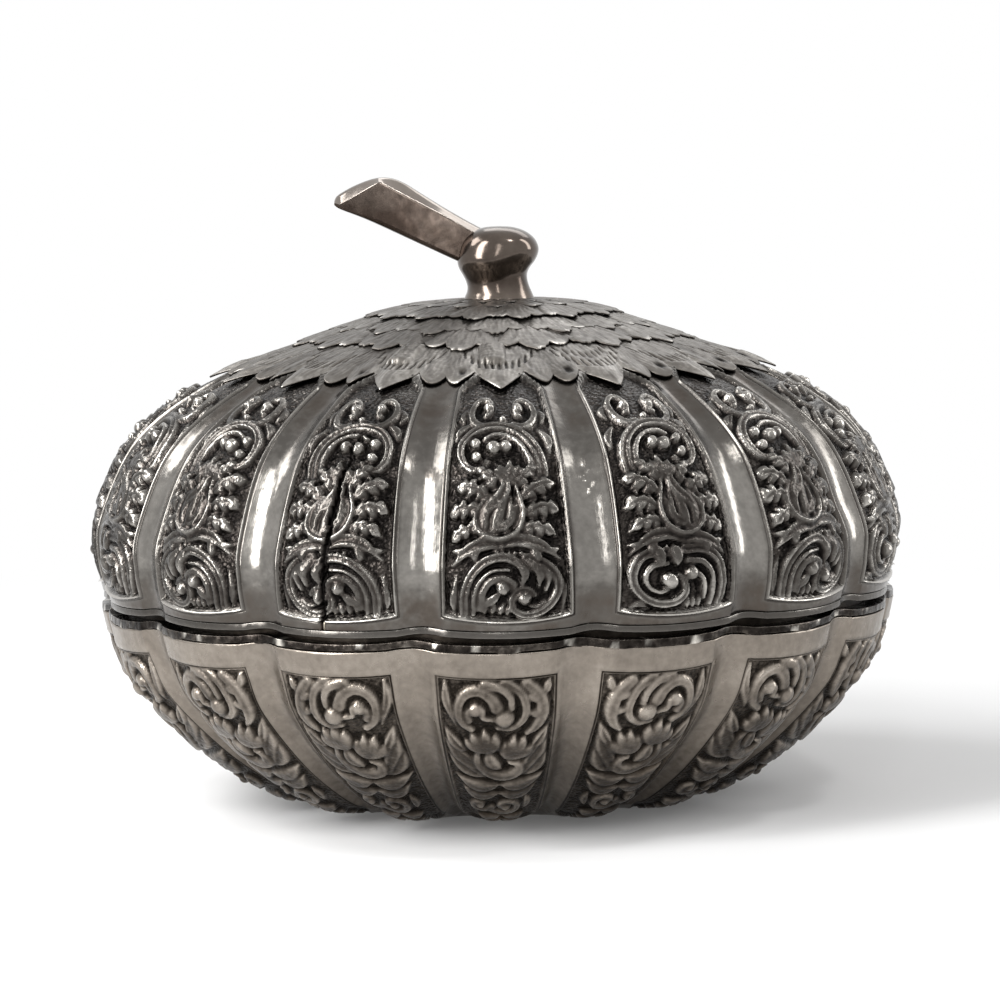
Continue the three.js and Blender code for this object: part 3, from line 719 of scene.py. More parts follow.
@dataclass
class Piece:
    """One finished mesh of the object: its points in millimetres, its faces and its finish values."""

    label: Label
    points: Array
    quads: Array
    finish: Array
    fans: list[tuple[int, ...]] = field(default_factory=list)

    def build(self, material: Material) -> SceneObject:
        """Makes the object, dresses it and hangs it on its body.

        Args:
            material: its finish.

        Returns:
            The new object.
        """
        name, body, slot, node = astuple(self.label)
        corners = np.concatenate([self.quads.ravel(), np.array([c for fan in self.fans for c in fan], int)])
        sizes = np.array([4] * len(self.quads) + [len(fan) for fan in self.fans], np.int32)
        mesh = bpy.data.meshes.new(name)
        mesh.vertices.add(self.points.size // 3)
        mesh.vertices.foreach_set("co", (self.points * MM).astype(np.float32).ravel())
        mesh.loops.add(len(corners))
        mesh.loops.foreach_set("vertex_index", corners.astype(np.int32))
        mesh.polygons.add(len(sizes))
        mesh.polygons.foreach_set("loop_start", np.concatenate([[0], np.cumsum(sizes)[:-1]]).astype(np.int32))
        mesh.polygons.foreach_set("use_smooth", np.ones(len(sizes), bool))
        mesh.update(calc_edges=True)
        mesh.validate()
        layer = mesh.attributes.new("finish", "FLOAT_VECTOR", "POINT")
        layer.data.foreach_set("vector", self.finish.astype(np.float32).ravel())
        thing = linked(name, mesh)
        mesh.materials.append(material)
        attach(thing, body)
        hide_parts(node)
        log.info("%s: %d faces on %s", name, len(sizes), body)
        return thing


@dataclass(frozen=True)
class Blemish:
    """A round mark on a sheet: a dent, a bump or a stain, as a bell over its radius."""

    phase: float
    arc: float
    radius: float
    depth: float = 0.0
    stain: float = 0.0


@dataclass(frozen=True)
class Border:
    """A panel's border: a bead and a traced line, each a place outside the edge, width, rise and shine."""

    bead: tuple[float, float, float, float]
    line: tuple[float, float, float, float]

    def across(self, edge: Array) -> ArrayPair:
        """Height and burnish over the border: each part is a bell across it.

        Args:
            edge: distance inside the panel's edge.

        Returns:
            Height and burnish to add.
        """
        height, shine = np.zeros_like(edge), np.zeros_like(edge)
        for place, width, rise, bright in (self.bead, self.line):
            bell = np.exp(-(((edge + place) / width) ** 2))
            height, shine = height + rise * bell, shine + bright * bell
        return height, shine


@dataclass
class ChasedShell:
    """The outside of a sheet with its chased panels, made two lobes at a time."""

    label: Label
    lobes: Lobes
    zones: dict[Zone, tuple[Array, ...]]
    canvas: Canvas
    hands: dict[int, dict[Zone, tuple[Hand, int]]]
    panel_start: float
    panel_end: float
    fine_end: float
    sheet_end: float
    fine_step: float
    wall: float
    relief: float
    sunk: float
    border: Border
    smile: float = 0.0
    foot: tuple[float, float] = (0.0, 0.0)
    painted_shade_off_joint: float = 0.0
    painted_rib_sheen: float = 0.0
    blemishes: tuple[Blemish, ...] = ()
    crack_lobe: int | None = None
    rib_stain_and_shade: float = 0.0
    off_centre: float = 0.0
    columns: int = 66

    def shares(self) -> Array:
        """Columns of one lobe: 0 in its middle, 1 on the panel's border and 1.5 in the middle of the rib."""
        panel = np.linspace(0, 0.92, self.columns // 2)[1:]
        rib = (1.15, 1.22, 1.31, 1.4, 1.485, 1.5)
        right = np.concatenate([panel, np.linspace(0.93, 1.1, 17), rib])
        return np.concatenate([-right[::-1], [0], right])

    def rows(self) -> ArrayPair:
        """Rows from the sheet's inner corner at the joint, over its edge and up the outside.

        Returns:
            Arc length and wall offset of every row.
        """
        low = np.arange(0.5, self.panel_start - 0.6, self.fine_step)
        border = np.arange(self.panel_start - 0.6, self.panel_start + 1.0, 0.11)
        fine = np.arange(self.panel_start + 1.0, self.fine_end, self.fine_step)
        coarse = np.linspace(self.fine_end, self.sheet_end, 14)
        arc = np.concatenate([[0, 0, 0.12], low, border, fine, coarse])
        wall = np.concatenate([[-self.wall, -0.15, 0], np.zeros(arc.size - 3)])
        return arc, wall

    def lobe_relief(self, lobe: int) -> ArrayPair:
        """Heights of a lobe's ornament and how bright each spot is made, by burnish and by painted shade.

        The burnish is the height over the mean height around it, so crests are bright and hollows dark as
        tarnish; the same sum also darkens the ground right beside each form, which is painted shade.

        Args:
            lobe: number of the lobe, 0 at the front and counted towards +X.

        Returns:
            Two grids over the canvas.
        """
        heights = np.zeros_like(self.canvas.heights)
        for zone, kinds in self.zones.items():
            hand, kind = self.hands[lobe][zone]
            drawn = kinds[kind % len(kinds)]
            heights = np.maximum(heights, drawn[:, ::-1] if hand is Hand.TURNED else drawn)
        # Painted shade: near and far fall below zero on the ground beside each raised form and darken it
        # there.
        near, far = heights - box_blur(heights, reach=4), heights - box_blur(heights, reach=11)
        burnish = np.clip(0.42 + 0.75 * near + 0.35 * far, 0.0, 1.0)
        return heights, burnish

    def sample(self, grid: Array, x: Array, s: Array) -> Array:
        """Reads a canvas grid between its cells: the weighted mean of the four cells around a spot."""
        step = self.canvas.step
        col = np.clip((x - self.canvas.across[0]) / step, 0, grid.shape[1] - 1.001)
        row = np.clip((s - self.canvas.along[0]) / step, 0, grid.shape[0] - 1.001)
        i, j = row.astype(int), col.astype(int)
        u, v = row - i, col - j
        low = grid[i, j] * (1 - v) + grid[i, j + 1] * v
        high = grid[i + 1, j] * (1 - v) + grid[i + 1, j + 1] * v
        return low * (1 - u) + high * u

    def lobe_grid(self, lobe: int, own: Array, arc: Array, wall: Array) -> ArrayPair:
        """Surface points and finish values of one lobe.

        The offset is the sunk ground inside the panel, plus the ornament, plus a ridge along the borders.

        Args:
            lobe: number of the lobe.
            own: shares of its columns, which keep to the borders as these draw together.
            arc: arc length of each row.
            wall: wall offset of each row.

        Returns:
            Points and finish values, row by row.
        """
        share, run = np.meshgrid(own, arc)
        width, beyond = self.lobes.half_at(run), np.clip(np.abs(share) - 1, 0, None)
        phase = np.sign(share) * (width * np.minimum(np.abs(share), 1) + (1 - 2 * width) * beyond)
        r = self.lobes.meridian.at(run)[0]
        bulge = 1.02
        x = phase * PITCH * r * bulge
        half = self.lobes.half_at(run) * PITCH * r * bulge
        s = run - self.panel_start
        heights, burnish = self.lobe_relief(lobe)
        sway = 0.25 * np.sin(s * 0.31 + lobe * 1.7)
        stretch = np.where(half > 9.4, 1.0, 9.4 / half) * (1 + 0.03 * math.sin(lobe * 2.3))
        spot = (x - sway) * stretch, s + 0.2 * np.sin(x * 0.35 + lobe)
        raised, bright = self.sample(heights, *spot), self.sample(burnish, *spot)
        reach = half * np.sqrt(smooth(0, 9, self.panel_end - run))
        side, under = reach - np.abs(x), s - self.smile * (x / half) ** 2
        edge = np.minimum(side, np.minimum(under, self.panel_end - run))
        inside = smooth(0.0, 0.7, edge)
        ridge, shine = self.border.across(edge)
        shine = shine * (0.75 + 0.25 * np.sin(0.16 * s + 2.1 * lobe + 1.4 * np.sign(x)))
        foot = np.exp(-(((under + 0.1) / 0.22) ** 2)) * smooth(-0.4, 2.0, side)
        ridge, shine = ridge + self.foot[0] * foot, shine + self.foot[1] * foot
        shown = 1 - smooth(0, 6, run - self.panel_end)
        joint = smooth(0.4, 1.4, run)
        beat = 0.08 * np.sin(x * 4.1 + 3 * np.sin(s * 2.1 + lobe)) * np.sin(s * 4.4 + 2.1 * np.sin(x * 1.7))
        ground = inside * np.clip(1 - raised / 0.3, 0, 1)
        worked = self.relief * raised - self.sunk
        offset = wall[:, None] + joint * (inside * worked + ridge * shown + beat * ground)
        plain = 0.62
        wear = plain + inside * (bright + 1.5 * beat * ground - plain) + shine * shown
        # Painted shade: the sheet is made darker the further it runs from the joint, towards the base's foot.
        wear -= self.painted_shade_off_joint * smooth(6, 48, run)
        rib = smooth(-0.4, -1.6, edge)
        # Painted reflection: the ribs are lightened along their lower middle, standing in for the bright
        # reflection that runs down them there.
        wear += self.painted_rib_sheen * rib * smooth(3, 12, run) * smooth(38, 24, run)
        # The ribs' ends by the rim and by the crown are darkened: partly real brown staining, partly painted
        # shade for the dark reflections there.
        stain = rib * self.rib_stain_and_shade * np.maximum(smooth(9, 4, run), smooth(37, 46, run))
        turned = lobe + phase
        for mark in self.blemishes:
            gap = np.hypot((turned - mark.phase) * PITCH * r, run - mark.arc) / mark.radius
            bell = np.exp(-(gap**2) * 2)
            offset -= mark.depth * bell
            stain += mark.stain * bell
        if lobe == self.crack_lobe:
            line = -2.1 + 0.09 * s + 0.16 * np.tanh(6 * np.sin(s * 0.9))
            slit = np.exp(-(((x - line) / 0.36) ** 4)) * smooth(37, 35, s)
            step = smooth(0.0, 0.4, x - line) * smooth(37, 28, s)
            offset += slit * (np.minimum(offset, -0.5) - 0.55 - offset) - 0.2 * step * inside
            wear -= 1.4 * slit
        points = self.lobes.place(turned, run, offset)
        matted = np.maximum(ground, 0.4 * inside)
        return points, np.stack([np.clip(wear, 0, 1), matted, np.clip(stain, 0, 1)], -1)

    def build(self, material: Material) -> list[SceneObject]:
        """Makes the shell's pieces, two lobes to each.

        Args:
            material: the sheet's finish.

        Returns:
            The new objects.
        """
        own = self.shares()
        arc, wall = self.rows()
        made = []
        for pair in range(LOBES // 2):
            first = self.lobe_grid(2 * pair, own, arc, wall)
            second = self.lobe_grid(2 * pair + 1, own, arc, wall)
            points, finish = (np.concatenate([a, b[:, 1:]], 1) for a, b in zip(first, second))
            quads = grid_quads(*points.shape[:2])
            if self.label.body == "base":
                quads = quads[:, ::-1]
            label = replace(self.label, name=f"{self.label.name}_{pair + 1}")
            made.append(Piece(label, points, quads, finish).build(material))
        return made


@dataclass
class Lining:
    """The inside of a chased sheet, with the ornament softly in reverse, and its unseen closing surface."""

    name: str
    shell: ChasedShell
    closing: Points | Array
    softness: int = 7
    columns: int = 18

    def build(self, material: Material) -> SceneObject:
        """Makes the lining as one grid: the inside, then the closing outline to a cap or ring.

        Args:
            material: the finish of the inside.

        Returns:
            The new object.
        """
        shell = self.shell
        phases = round_phases(self.columns)
        end = shell.lobes.meridian.arc[-1]
        fine = np.linspace(1.0, shell.panel_end, 66)
        arc = np.concatenate([[0, 0.4], fine, np.linspace(shell.panel_end, end, 12)[1:]])
        phase, run = np.meshgrid(phases, arc)
        offset = np.full(phase.shape, -shell.wall)
        r = shell.lobes.meridian.at(run)[0]
        lobe = np.round(phase)
        x = (phase - lobe) * PITCH * r
        half = shell.lobes.half_at(run) * PITCH * r
        s = run - shell.panel_start
        reach = half * np.sqrt(smooth(0, 9, shell.panel_end - run))
        edge = np.minimum(reach - np.abs(x), s)
        inside = smooth(-0.6, 0.6, edge)
        drawn = [box_blur(shell.lobe_relief(k)[0], self.softness) for k in range(LOBES)]
        raised = np.zeros_like(offset)
        for k in range(LOBES):
            own = (lobe.astype(int) % LOBES) == k
            raised[own] = shell.sample(drawn[k], x[own] * 0.92, s[own])
        offset += inside * (0.4 * shell.relief * raised - shell.sunk - 0.2) * smooth(0.4, 1.6, run)
        points = shell.lobes.place(phase, run, offset, shell.off_centre)
        wear = 0.55 + 0.6 * inside * (box_blur(raised, reach=4) - raised)
        angle = shell.lobes.angle(phases)
        rows = [points]
        for radius, height in self.closing:
            shift = shell.off_centre * max(0.0, 1 - radius / CROWN_RADIUS)
            rows.append(around(radius, angle, np.full(angle.size, height), (shift, 0.0))[None])
        points = np.concatenate(rows)
        shape = points.shape[:2]
        shown = np.full(shape, PLAIN_WEAR)
        shown[: len(wear)] = np.clip(wear, 0, 1)
        quads, caps = grid_quads(*shape, round_cols=True), end_fans(*shape)[1:]
        if shell.label.body == "lid":
            quads, caps = quads[:, ::-1], []
        label = replace(shell.label, name=self.name)
        return Piece(label, points, quads, finish_values(shown, shape), caps).build(material)


def filleted(corners: Points, radius: float, steps: int = 3) -> Array:
    """A closed outline with rounded corners: each corner becomes a parabola between points on its two sides.

    Args:
        corners: radius and height of each corner, anticlockwise.
        radius: how far from a corner its rounding starts.
        steps: how many steps each rounding has.

    Returns:
        The rounded outline.
    """
    spots = np.array(corners, float)

    def towards(other: Array) -> Array:
        """Points on the way from each corner to another, where its rounding starts or ends."""
        gap = other - spots
        length = np.linalg.norm(gap, axis=1, keepdims=True)
        return spots + gap * np.minimum(radius / np.maximum(length, 1e-6), 0.45)

    start, end = towards(np.roll(spots, 1, 0)), towards(np.roll(spots, -1, 0))
    t = np.linspace(0, 1, steps + 1)[None, :, None]
    curve = (1 - t) ** 2 * start[:, None] + 2 * t * (1 - t) * spots[:, None] + t * t * end[:, None]
    return curve.reshape(-1, 2)


def outline_wear(outline: Array) -> Array:
    """How burnished each point of a closed outline is: more where it turns outwards.

    Args:
        outline: radius and height of each point, anticlockwise.

    Returns:
        A share from 0 to 1 for each point.
    """
    before, after = outline - np.roll(outline, 1, 0), np.roll(outline, -1, 0) - outline
    turn = before[:, 0] * after[:, 1] - before[:, 1] * after[:, 0]
    sizes = np.linalg.norm(before, axis=1) * np.linalg.norm(after, axis=1) + 1e-9
    return np.clip(FLAT_WEAR + 0.7 * turn / sizes, 0, 1)


@dataclass
class LobedBand:
    """A soldered strip or a collar that follows the lobes of a rim."""

    label: Label
    lobes: Lobes
    outline: Points
    rounding: float
    unevenness: float = 0.0
    drip: float = 0.0
    columns: int = 48
    shine: float = 1.0

    def build(self, material: Material) -> SceneObject:
        """Carries the outline round the rim; the strip's own unevenness is a sum of three waves.

        Args:
            material: the band's finish.

        Returns:
            The new object.
        """
        outline = filleted(self.outline, self.rounding)
        phase, offset = np.meshgrid(round_phases(self.columns), outline[:, 0])
        z = np.broadcast_to(outline[:, 1:], phase.shape)
        turn = phase * PITCH
        swell = np.sin(41 * turn + 2 * np.sin(7 * turn)) + 0.7 * np.sin(97 * turn + z * 3)
        swell += 0.6 * np.sin(173 * turn)
        valley = self.lobes.valley(phase, self.lobes.half_at(np.zeros_like(phase)))
        wave = self.lobes.wave * valley * (1 - smooth(0, self.lobes.wave_fade, np.abs(z - JOINT)))
        r = self.lobes.meridian.spots[0, 0] + offset - self.lobes.rim_depth * valley
        r = r + self.unevenness * (swell * 0.4 - 0.5)
        low = z < outline[:, 1].mean()
        drops = np.sin(23 * turn + 3 * np.sin(9 * turn)) + 0.5 * np.sin(71 * turn)
        sag = self.drip * np.clip(drops, 0, None) * low
        points = around(r, self.lobes.angle(phase), z + wave - sag)
        bits = np.sin(83 * turn + 4 * np.sin(5 * turn)) * np.sin(31 * turn + 2.6)
        bits *= np.sin(13 * turn + 0.4 + z)
        solder = smooth(0.45, 0.7, bits) if self.drip else 0.0
        values = finish_values(self.shine * outline_wear(outline)[:, None], phase.shape, solder)
        quads = grid_quads(*phase.shape, round_rows=True, round_cols=True)
        return Piece(self.label, points, quads, values).build(material)


@dataclass(frozen=True)
class LeafTip:
    """One finger of a leaf: its edge's radius falls off with a power of the distance across."""

    across: float
    radius: float
    fall: float
    power: float = 2.0


@dataclass(frozen=True)
class LeafTier:
    """A row of sixteen leaves round the crown.

    Its edge is the furthest out of its fingers' edges. Its top curls up at the edge. Every finger is a dome,
    the root of 1 minus q squared, q being the distance from its middle line in half widths, and the middle
    lines draw together towards the leaf's root.
    """

    tips: tuple[LeafTip, ...]
    shift: float
    level: float
    curl: float
    curl_reach: float
    rows: int
    finger: float
    length: float
    dome: float
    sway: float = 0.0
    ragged: float = 0.0

    def across(self, phase: Array, radius: Array | float) -> Array:
        """Distance across from the nearest leaf's middle line; leaves stand a little unevenly."""
        own = phase - self.shift
        nearest = np.round(own)
        return (own - nearest + self.sway * np.sin(2.4 * nearest + 9 * self.level)) * PITCH * radius

    def edge(self, phase: Array) -> Array:
        """Radius of the tier's edge.

        Args:
            phase: places round the body, in pitches.

        Returns:
            The radii.
        """
        middle = max(tip.radius for tip in self.tips)
        x = np.abs(self.across(phase, middle - 3))
        fingers = [tip.radius - tip.fall * np.abs(x - tip.across) ** tip.power for tip in self.tips]
        return np.maximum.reduce(fingers) + self.ragged * np.sin(37 * phase + 4 * np.sin(11 * phase))

    def top(self, phase: Array, radius: Array, edge: Array) -> ArrayPair:
        """Height over the sheet below, and how bright it is: burnish, with painted glints on a few tips.

        Args:
            phase: places round the body, in pitches.
            radius: radius of each point.
            edge: radius of the tier's edge there.

        Returns:
            Heights and burnish shares.
        """
        inward = np.clip(edge - radius, 0, None)
        x = self.across(phase, radius)
        lobes, veins = [], []
        for tip in self.tips:
            back = np.clip((tip.radius - radius) / self.length, 0, 1)
            q = (np.abs(x) - tip.across * (1 - 0.8 * back)) / (self.finger * (1 - 0.5 * back))
            lobes.append(np.sqrt(np.clip(1 - q * q, 0, 1)))
            veins.append(np.exp(-((q / 0.16) ** 2)))
        dome, vein = np.maximum.reduce(lobes), np.maximum.reduce(veins)
        curl = self.curl * np.exp(-((inward / self.curl_reach) ** 2))
        lines = smooth(1.0, 2.4, inward)
        fine = np.cos(2 * np.pi * x / 0.85 + 1.5 * np.sin(radius)) * lines
        height = self.level + curl + self.dome * dome - 0.12 * vein * lines + 0.03 * fine
        burnish = 0.44 + 0.14 * dome - 0.12 * vein * lines + 0.04 * fine
        # Painted glints: tips that the sine picks get a bright rim at the crest of their dome.
        rare_glint = smooth(0.55, 0.9, np.sin(5.3 * np.round(phase - self.shift) + 7 * self.level + 2 * np.sign(x)))
        burnish = burnish + 0.6 * np.exp(-((inward / 0.5) ** 2)) * dome**10 * rare_glint
        return height, burnish


@dataclass
class LeafMantle:
    """A chased sheet of leaves in tiers, laid over the crown and cut out along its lowest leaves."""

    label: Label
    lobes: Lobes
    tiers: tuple[LeafTier, ...]
    inner_radius: float
    under: float
    off_centre: float
    columns: int
    tongue: bool = False
    droop: float = 0.0

    def tongue_relief(self, phase: Array, radius: Array) -> ArrayPair:
        """What the lowest leaves carry: a smooth tip, cut ticks along a curved line, and fan ridges.

        Args:
            phase: places round the body, in pitches.
            radius: radius of each point.

        Returns:
            Height and burnish to add.
        """
        lobe = np.round(phase)
        x = (phase - lobe) * PITCH * radius
        line = 49.2 - 0.17 * x * x
        out = radius - line
        row = smooth(0.1, -0.3, out) * smooth(-3.9, -3.0, out) * smooth(7.4, 6.2, np.abs(x))
        tick = np.clip(np.cos(2 * np.pi * x / 1.2) * 1.9 - 0.4, 0, 1)
        tile = smooth(-0.1, 0.4, out) * smooth(5.6, 4.8, np.abs(x))
        turn = np.arctan2(x, 52.1 - radius)
        fan = np.cos(30 * turn) * smooth(-3.4, -4.2, out)
        fan = fan * smooth(0.3, 0.7, np.abs(turn)) * smooth(35, 37, radius)
        side = smooth(5.2, 6.2, np.abs(x))
        hole = np.exp(-(((x + 6.7) / 0.7) ** 2) - ((radius - 49.0) / 1.1) ** 2)
        boss = np.sqrt(np.clip(1 - ((x + 1.0) / 2.4) ** 2, 0, 1)) * (np.mod(lobe, 5) == 0)
        boss = boss * smooth(35.8, 36.6, radius) * smooth(45.8, 45.0, radius)
        second = tick * smooth(-5.0, -5.5, out) * smooth(-8.0, -7.4, out) * (np.mod(lobe, 5) == 1)
        cuts = 0.5 * hole + 0.3 * second
        height = 0.15 * tile - 0.4 * tick * row + 0.1 * fan + 0.2 * side - cuts
        height = height + boss * (0.9 + 0.12 * np.cos(2 * np.pi * radius / 1.3))
        burnish = 0.12 * tile - 0.5 * tick * row + 0.1 * row + 0.08 * fan + 0.05 * boss - cuts
        return height, burnish

    def build(self, material: Material) -> SceneObject:
        """Makes the mantle as one closed ring: along its underside, then up and inwards tier by tier.

        Args:
            material: the finish of the leaves.

        Returns:
            The new object.
        """
        phases = round_phases(self.columns)
        edges = [tier.edge(phases) for tier in self.tiers] + [np.full(phases.size, self.inner_radius)]
        radii, heights, burnish = [], [], []

        def row(radius: Array, height: Array | float, shine: Array | float) -> None:
            """Adds one row of the ring."""
            radii.append(radius)
            heights.append(np.broadcast_to(height, radius.shape))
            burnish.append(np.broadcast_to(shine, radius.shape))

        for share in (0.0, 0.35, 0.7, 0.93):
            row(edges[-1] * (1 - share) + edges[0] * share - 0.2 * share, self.under, 0.1)
        for number, tier in enumerate(self.tiers):
            edge, inner = edges[number], edges[number + 1]
            low = heights[-1]
            tip = self.tier_top(tier, number, phases, edge - 0.25, edge)
            row(edge - 0.02, low + 0.2 * (tip[0] - low), 0.0)
            row(edge + 0.08, low + 0.65 * (tip[0] - low), 0.1)
            row(edge - 0.02, tip[0] - 0.06, tip[1] - 0.1)
            span = edge - 0.25 - inner
            for share in np.linspace(0, 1, tier.rows) ** 1.25:
                radius = edge - 0.25 - span * share
                row(radius, *self.tier_top(tier, number, phases, radius, edge))
        r, offset = np.stack(radii), np.stack(heights)
        phase = np.broadcast_to(phases, r.shape)
        beside = np.abs(phase - np.round(phase)) * PITCH * r
        tips = 0.6 * smooth(6.0, 3.5, beside) * smooth(6.0, 0.0, edges[0] - r) if self.tongue else 0.0
        offset = offset - self.droop * smooth(3.0, 0.0, edges[0] - r) - tips
        arc = self.lobes.meridian.arc_at_radius(r)
        points = self.lobes.place(phase, arc, offset, self.off_centre)
        values = finish_values(np.clip(np.stack(burnish), 0, 1), r.shape)
        quads = grid_quads(*r.shape, round_rows=True, round_cols=True)
        return Piece(self.label, points, quads, values).build(material)

    def tier_top(self, tier: LeafTier, number: int, phases: Array, radius: Array, edge: Array) -> ArrayPair:
        """A tier's height and burnish, with the tongue's own relief on the lowest tier.

        Args:
            tier: the tier.
            number: its number from the edge.
            phases: places round the body.
            radius: radius of each point.
            edge: radius of the tier's edge there.

        Returns:
            Heights and burnish shares.
        """
        height, shine = tier.top(phases, radius, edge)
        if self.tongue and number == 0:
            more, brighter = self.tongue_relief(phases, radius)
            height, shine = height + more, shine + brighter
        return height, shine


@dataclass
class Turned:
    """A form turned or raised round an axis: an outline swept round it, closed by small flat caps."""

    label: Label
    outline: Array
    centre: tuple[float, float] = (0.0, 0.0)
    segments: int = 96
    capped: bool = True

    def build(self, material: Material) -> SceneObject:
        """Sweeps the outline round its axis.

        Args:
            material: the form's finish.

        Returns:
            The new object.
        """
        angle, r = np.meshgrid(circle(self.segments), self.outline[:, 0])
        points = around(r, angle, np.broadcast_to(self.outline[:, 1:], r.shape), self.centre)
        wear = outline_wear(self.outline)
        if self.capped:
            wear[[0, -1]] = FLAT_WEAR
        quads = grid_quads(*r.shape, round_rows=not self.capped, round_cols=True)
        fans = end_fans(*r.shape) if self.capped else []
        values = finish_values(wear[:, None], r.shape)
        return Piece(self.label, points, quads, values, fans).build(material)


def open_outline(corners: Points, radius: float) -> Array:
    """An outline from the axis below to the axis above, with rounded corners and small holes on the axis.

    Args:
        corners: radius and height of each corner, anticlockwise, the first and last on the axis.
        radius: size of the rounding.

    Returns:
        The outline, with its ends 0.3 mm from the axis.
    """
    at_an_end = 4
    inner = filleted(corners, radius)[at_an_end:-at_an_end]
    return np.concatenate([[(0.3, corners[0][1])], inner, [(0.3, corners[-1][1])]])


def discard(thing: SceneObject) -> None:
    """Removes a helper object and its mesh."""
    mesh = thing.data
    bpy.data.objects.remove(thing)
    bpy.data.meshes.remove(mesh)


def evaluated(thing: SceneObject) -> tuple[Array, list[tuple[int, ...]]]:
    """The points and faces that an object has once its modifiers have run; the object itself is removed.

    Args:
        thing: a helper object.

    Returns:
        Its points in metres and its faces.
    """
    bpy.context.view_layer.update()
    mesh = bpy.data.meshes.new_from_object(thing.evaluated_get(bpy.context.evaluated_depsgraph_get()))
    points = np.empty(len(mesh.vertices) * 3, np.float32)
    mesh.vertices.foreach_get("co", points)
    faces = [tuple(face.vertices) for face in mesh.polygons]
    bpy.data.meshes.remove(mesh)
    discard(thing)
    return points.reshape(-1, 3).astype(float), faces


def helper(name: str, points: Array, faces: Sequence[Sequence[int]]) -> SceneObject:
    """A helper object from points in metres and faces.

    Args:
        name: its name.
        points: its points.
        faces: its faces.

    Returns:
        The object, linked to the scene.
    """
    mesh = bpy.data.meshes.new(name)
    mesh.from_pydata(points.tolist(), [], [list(face) for face in faces])
    return linked(name, mesh)


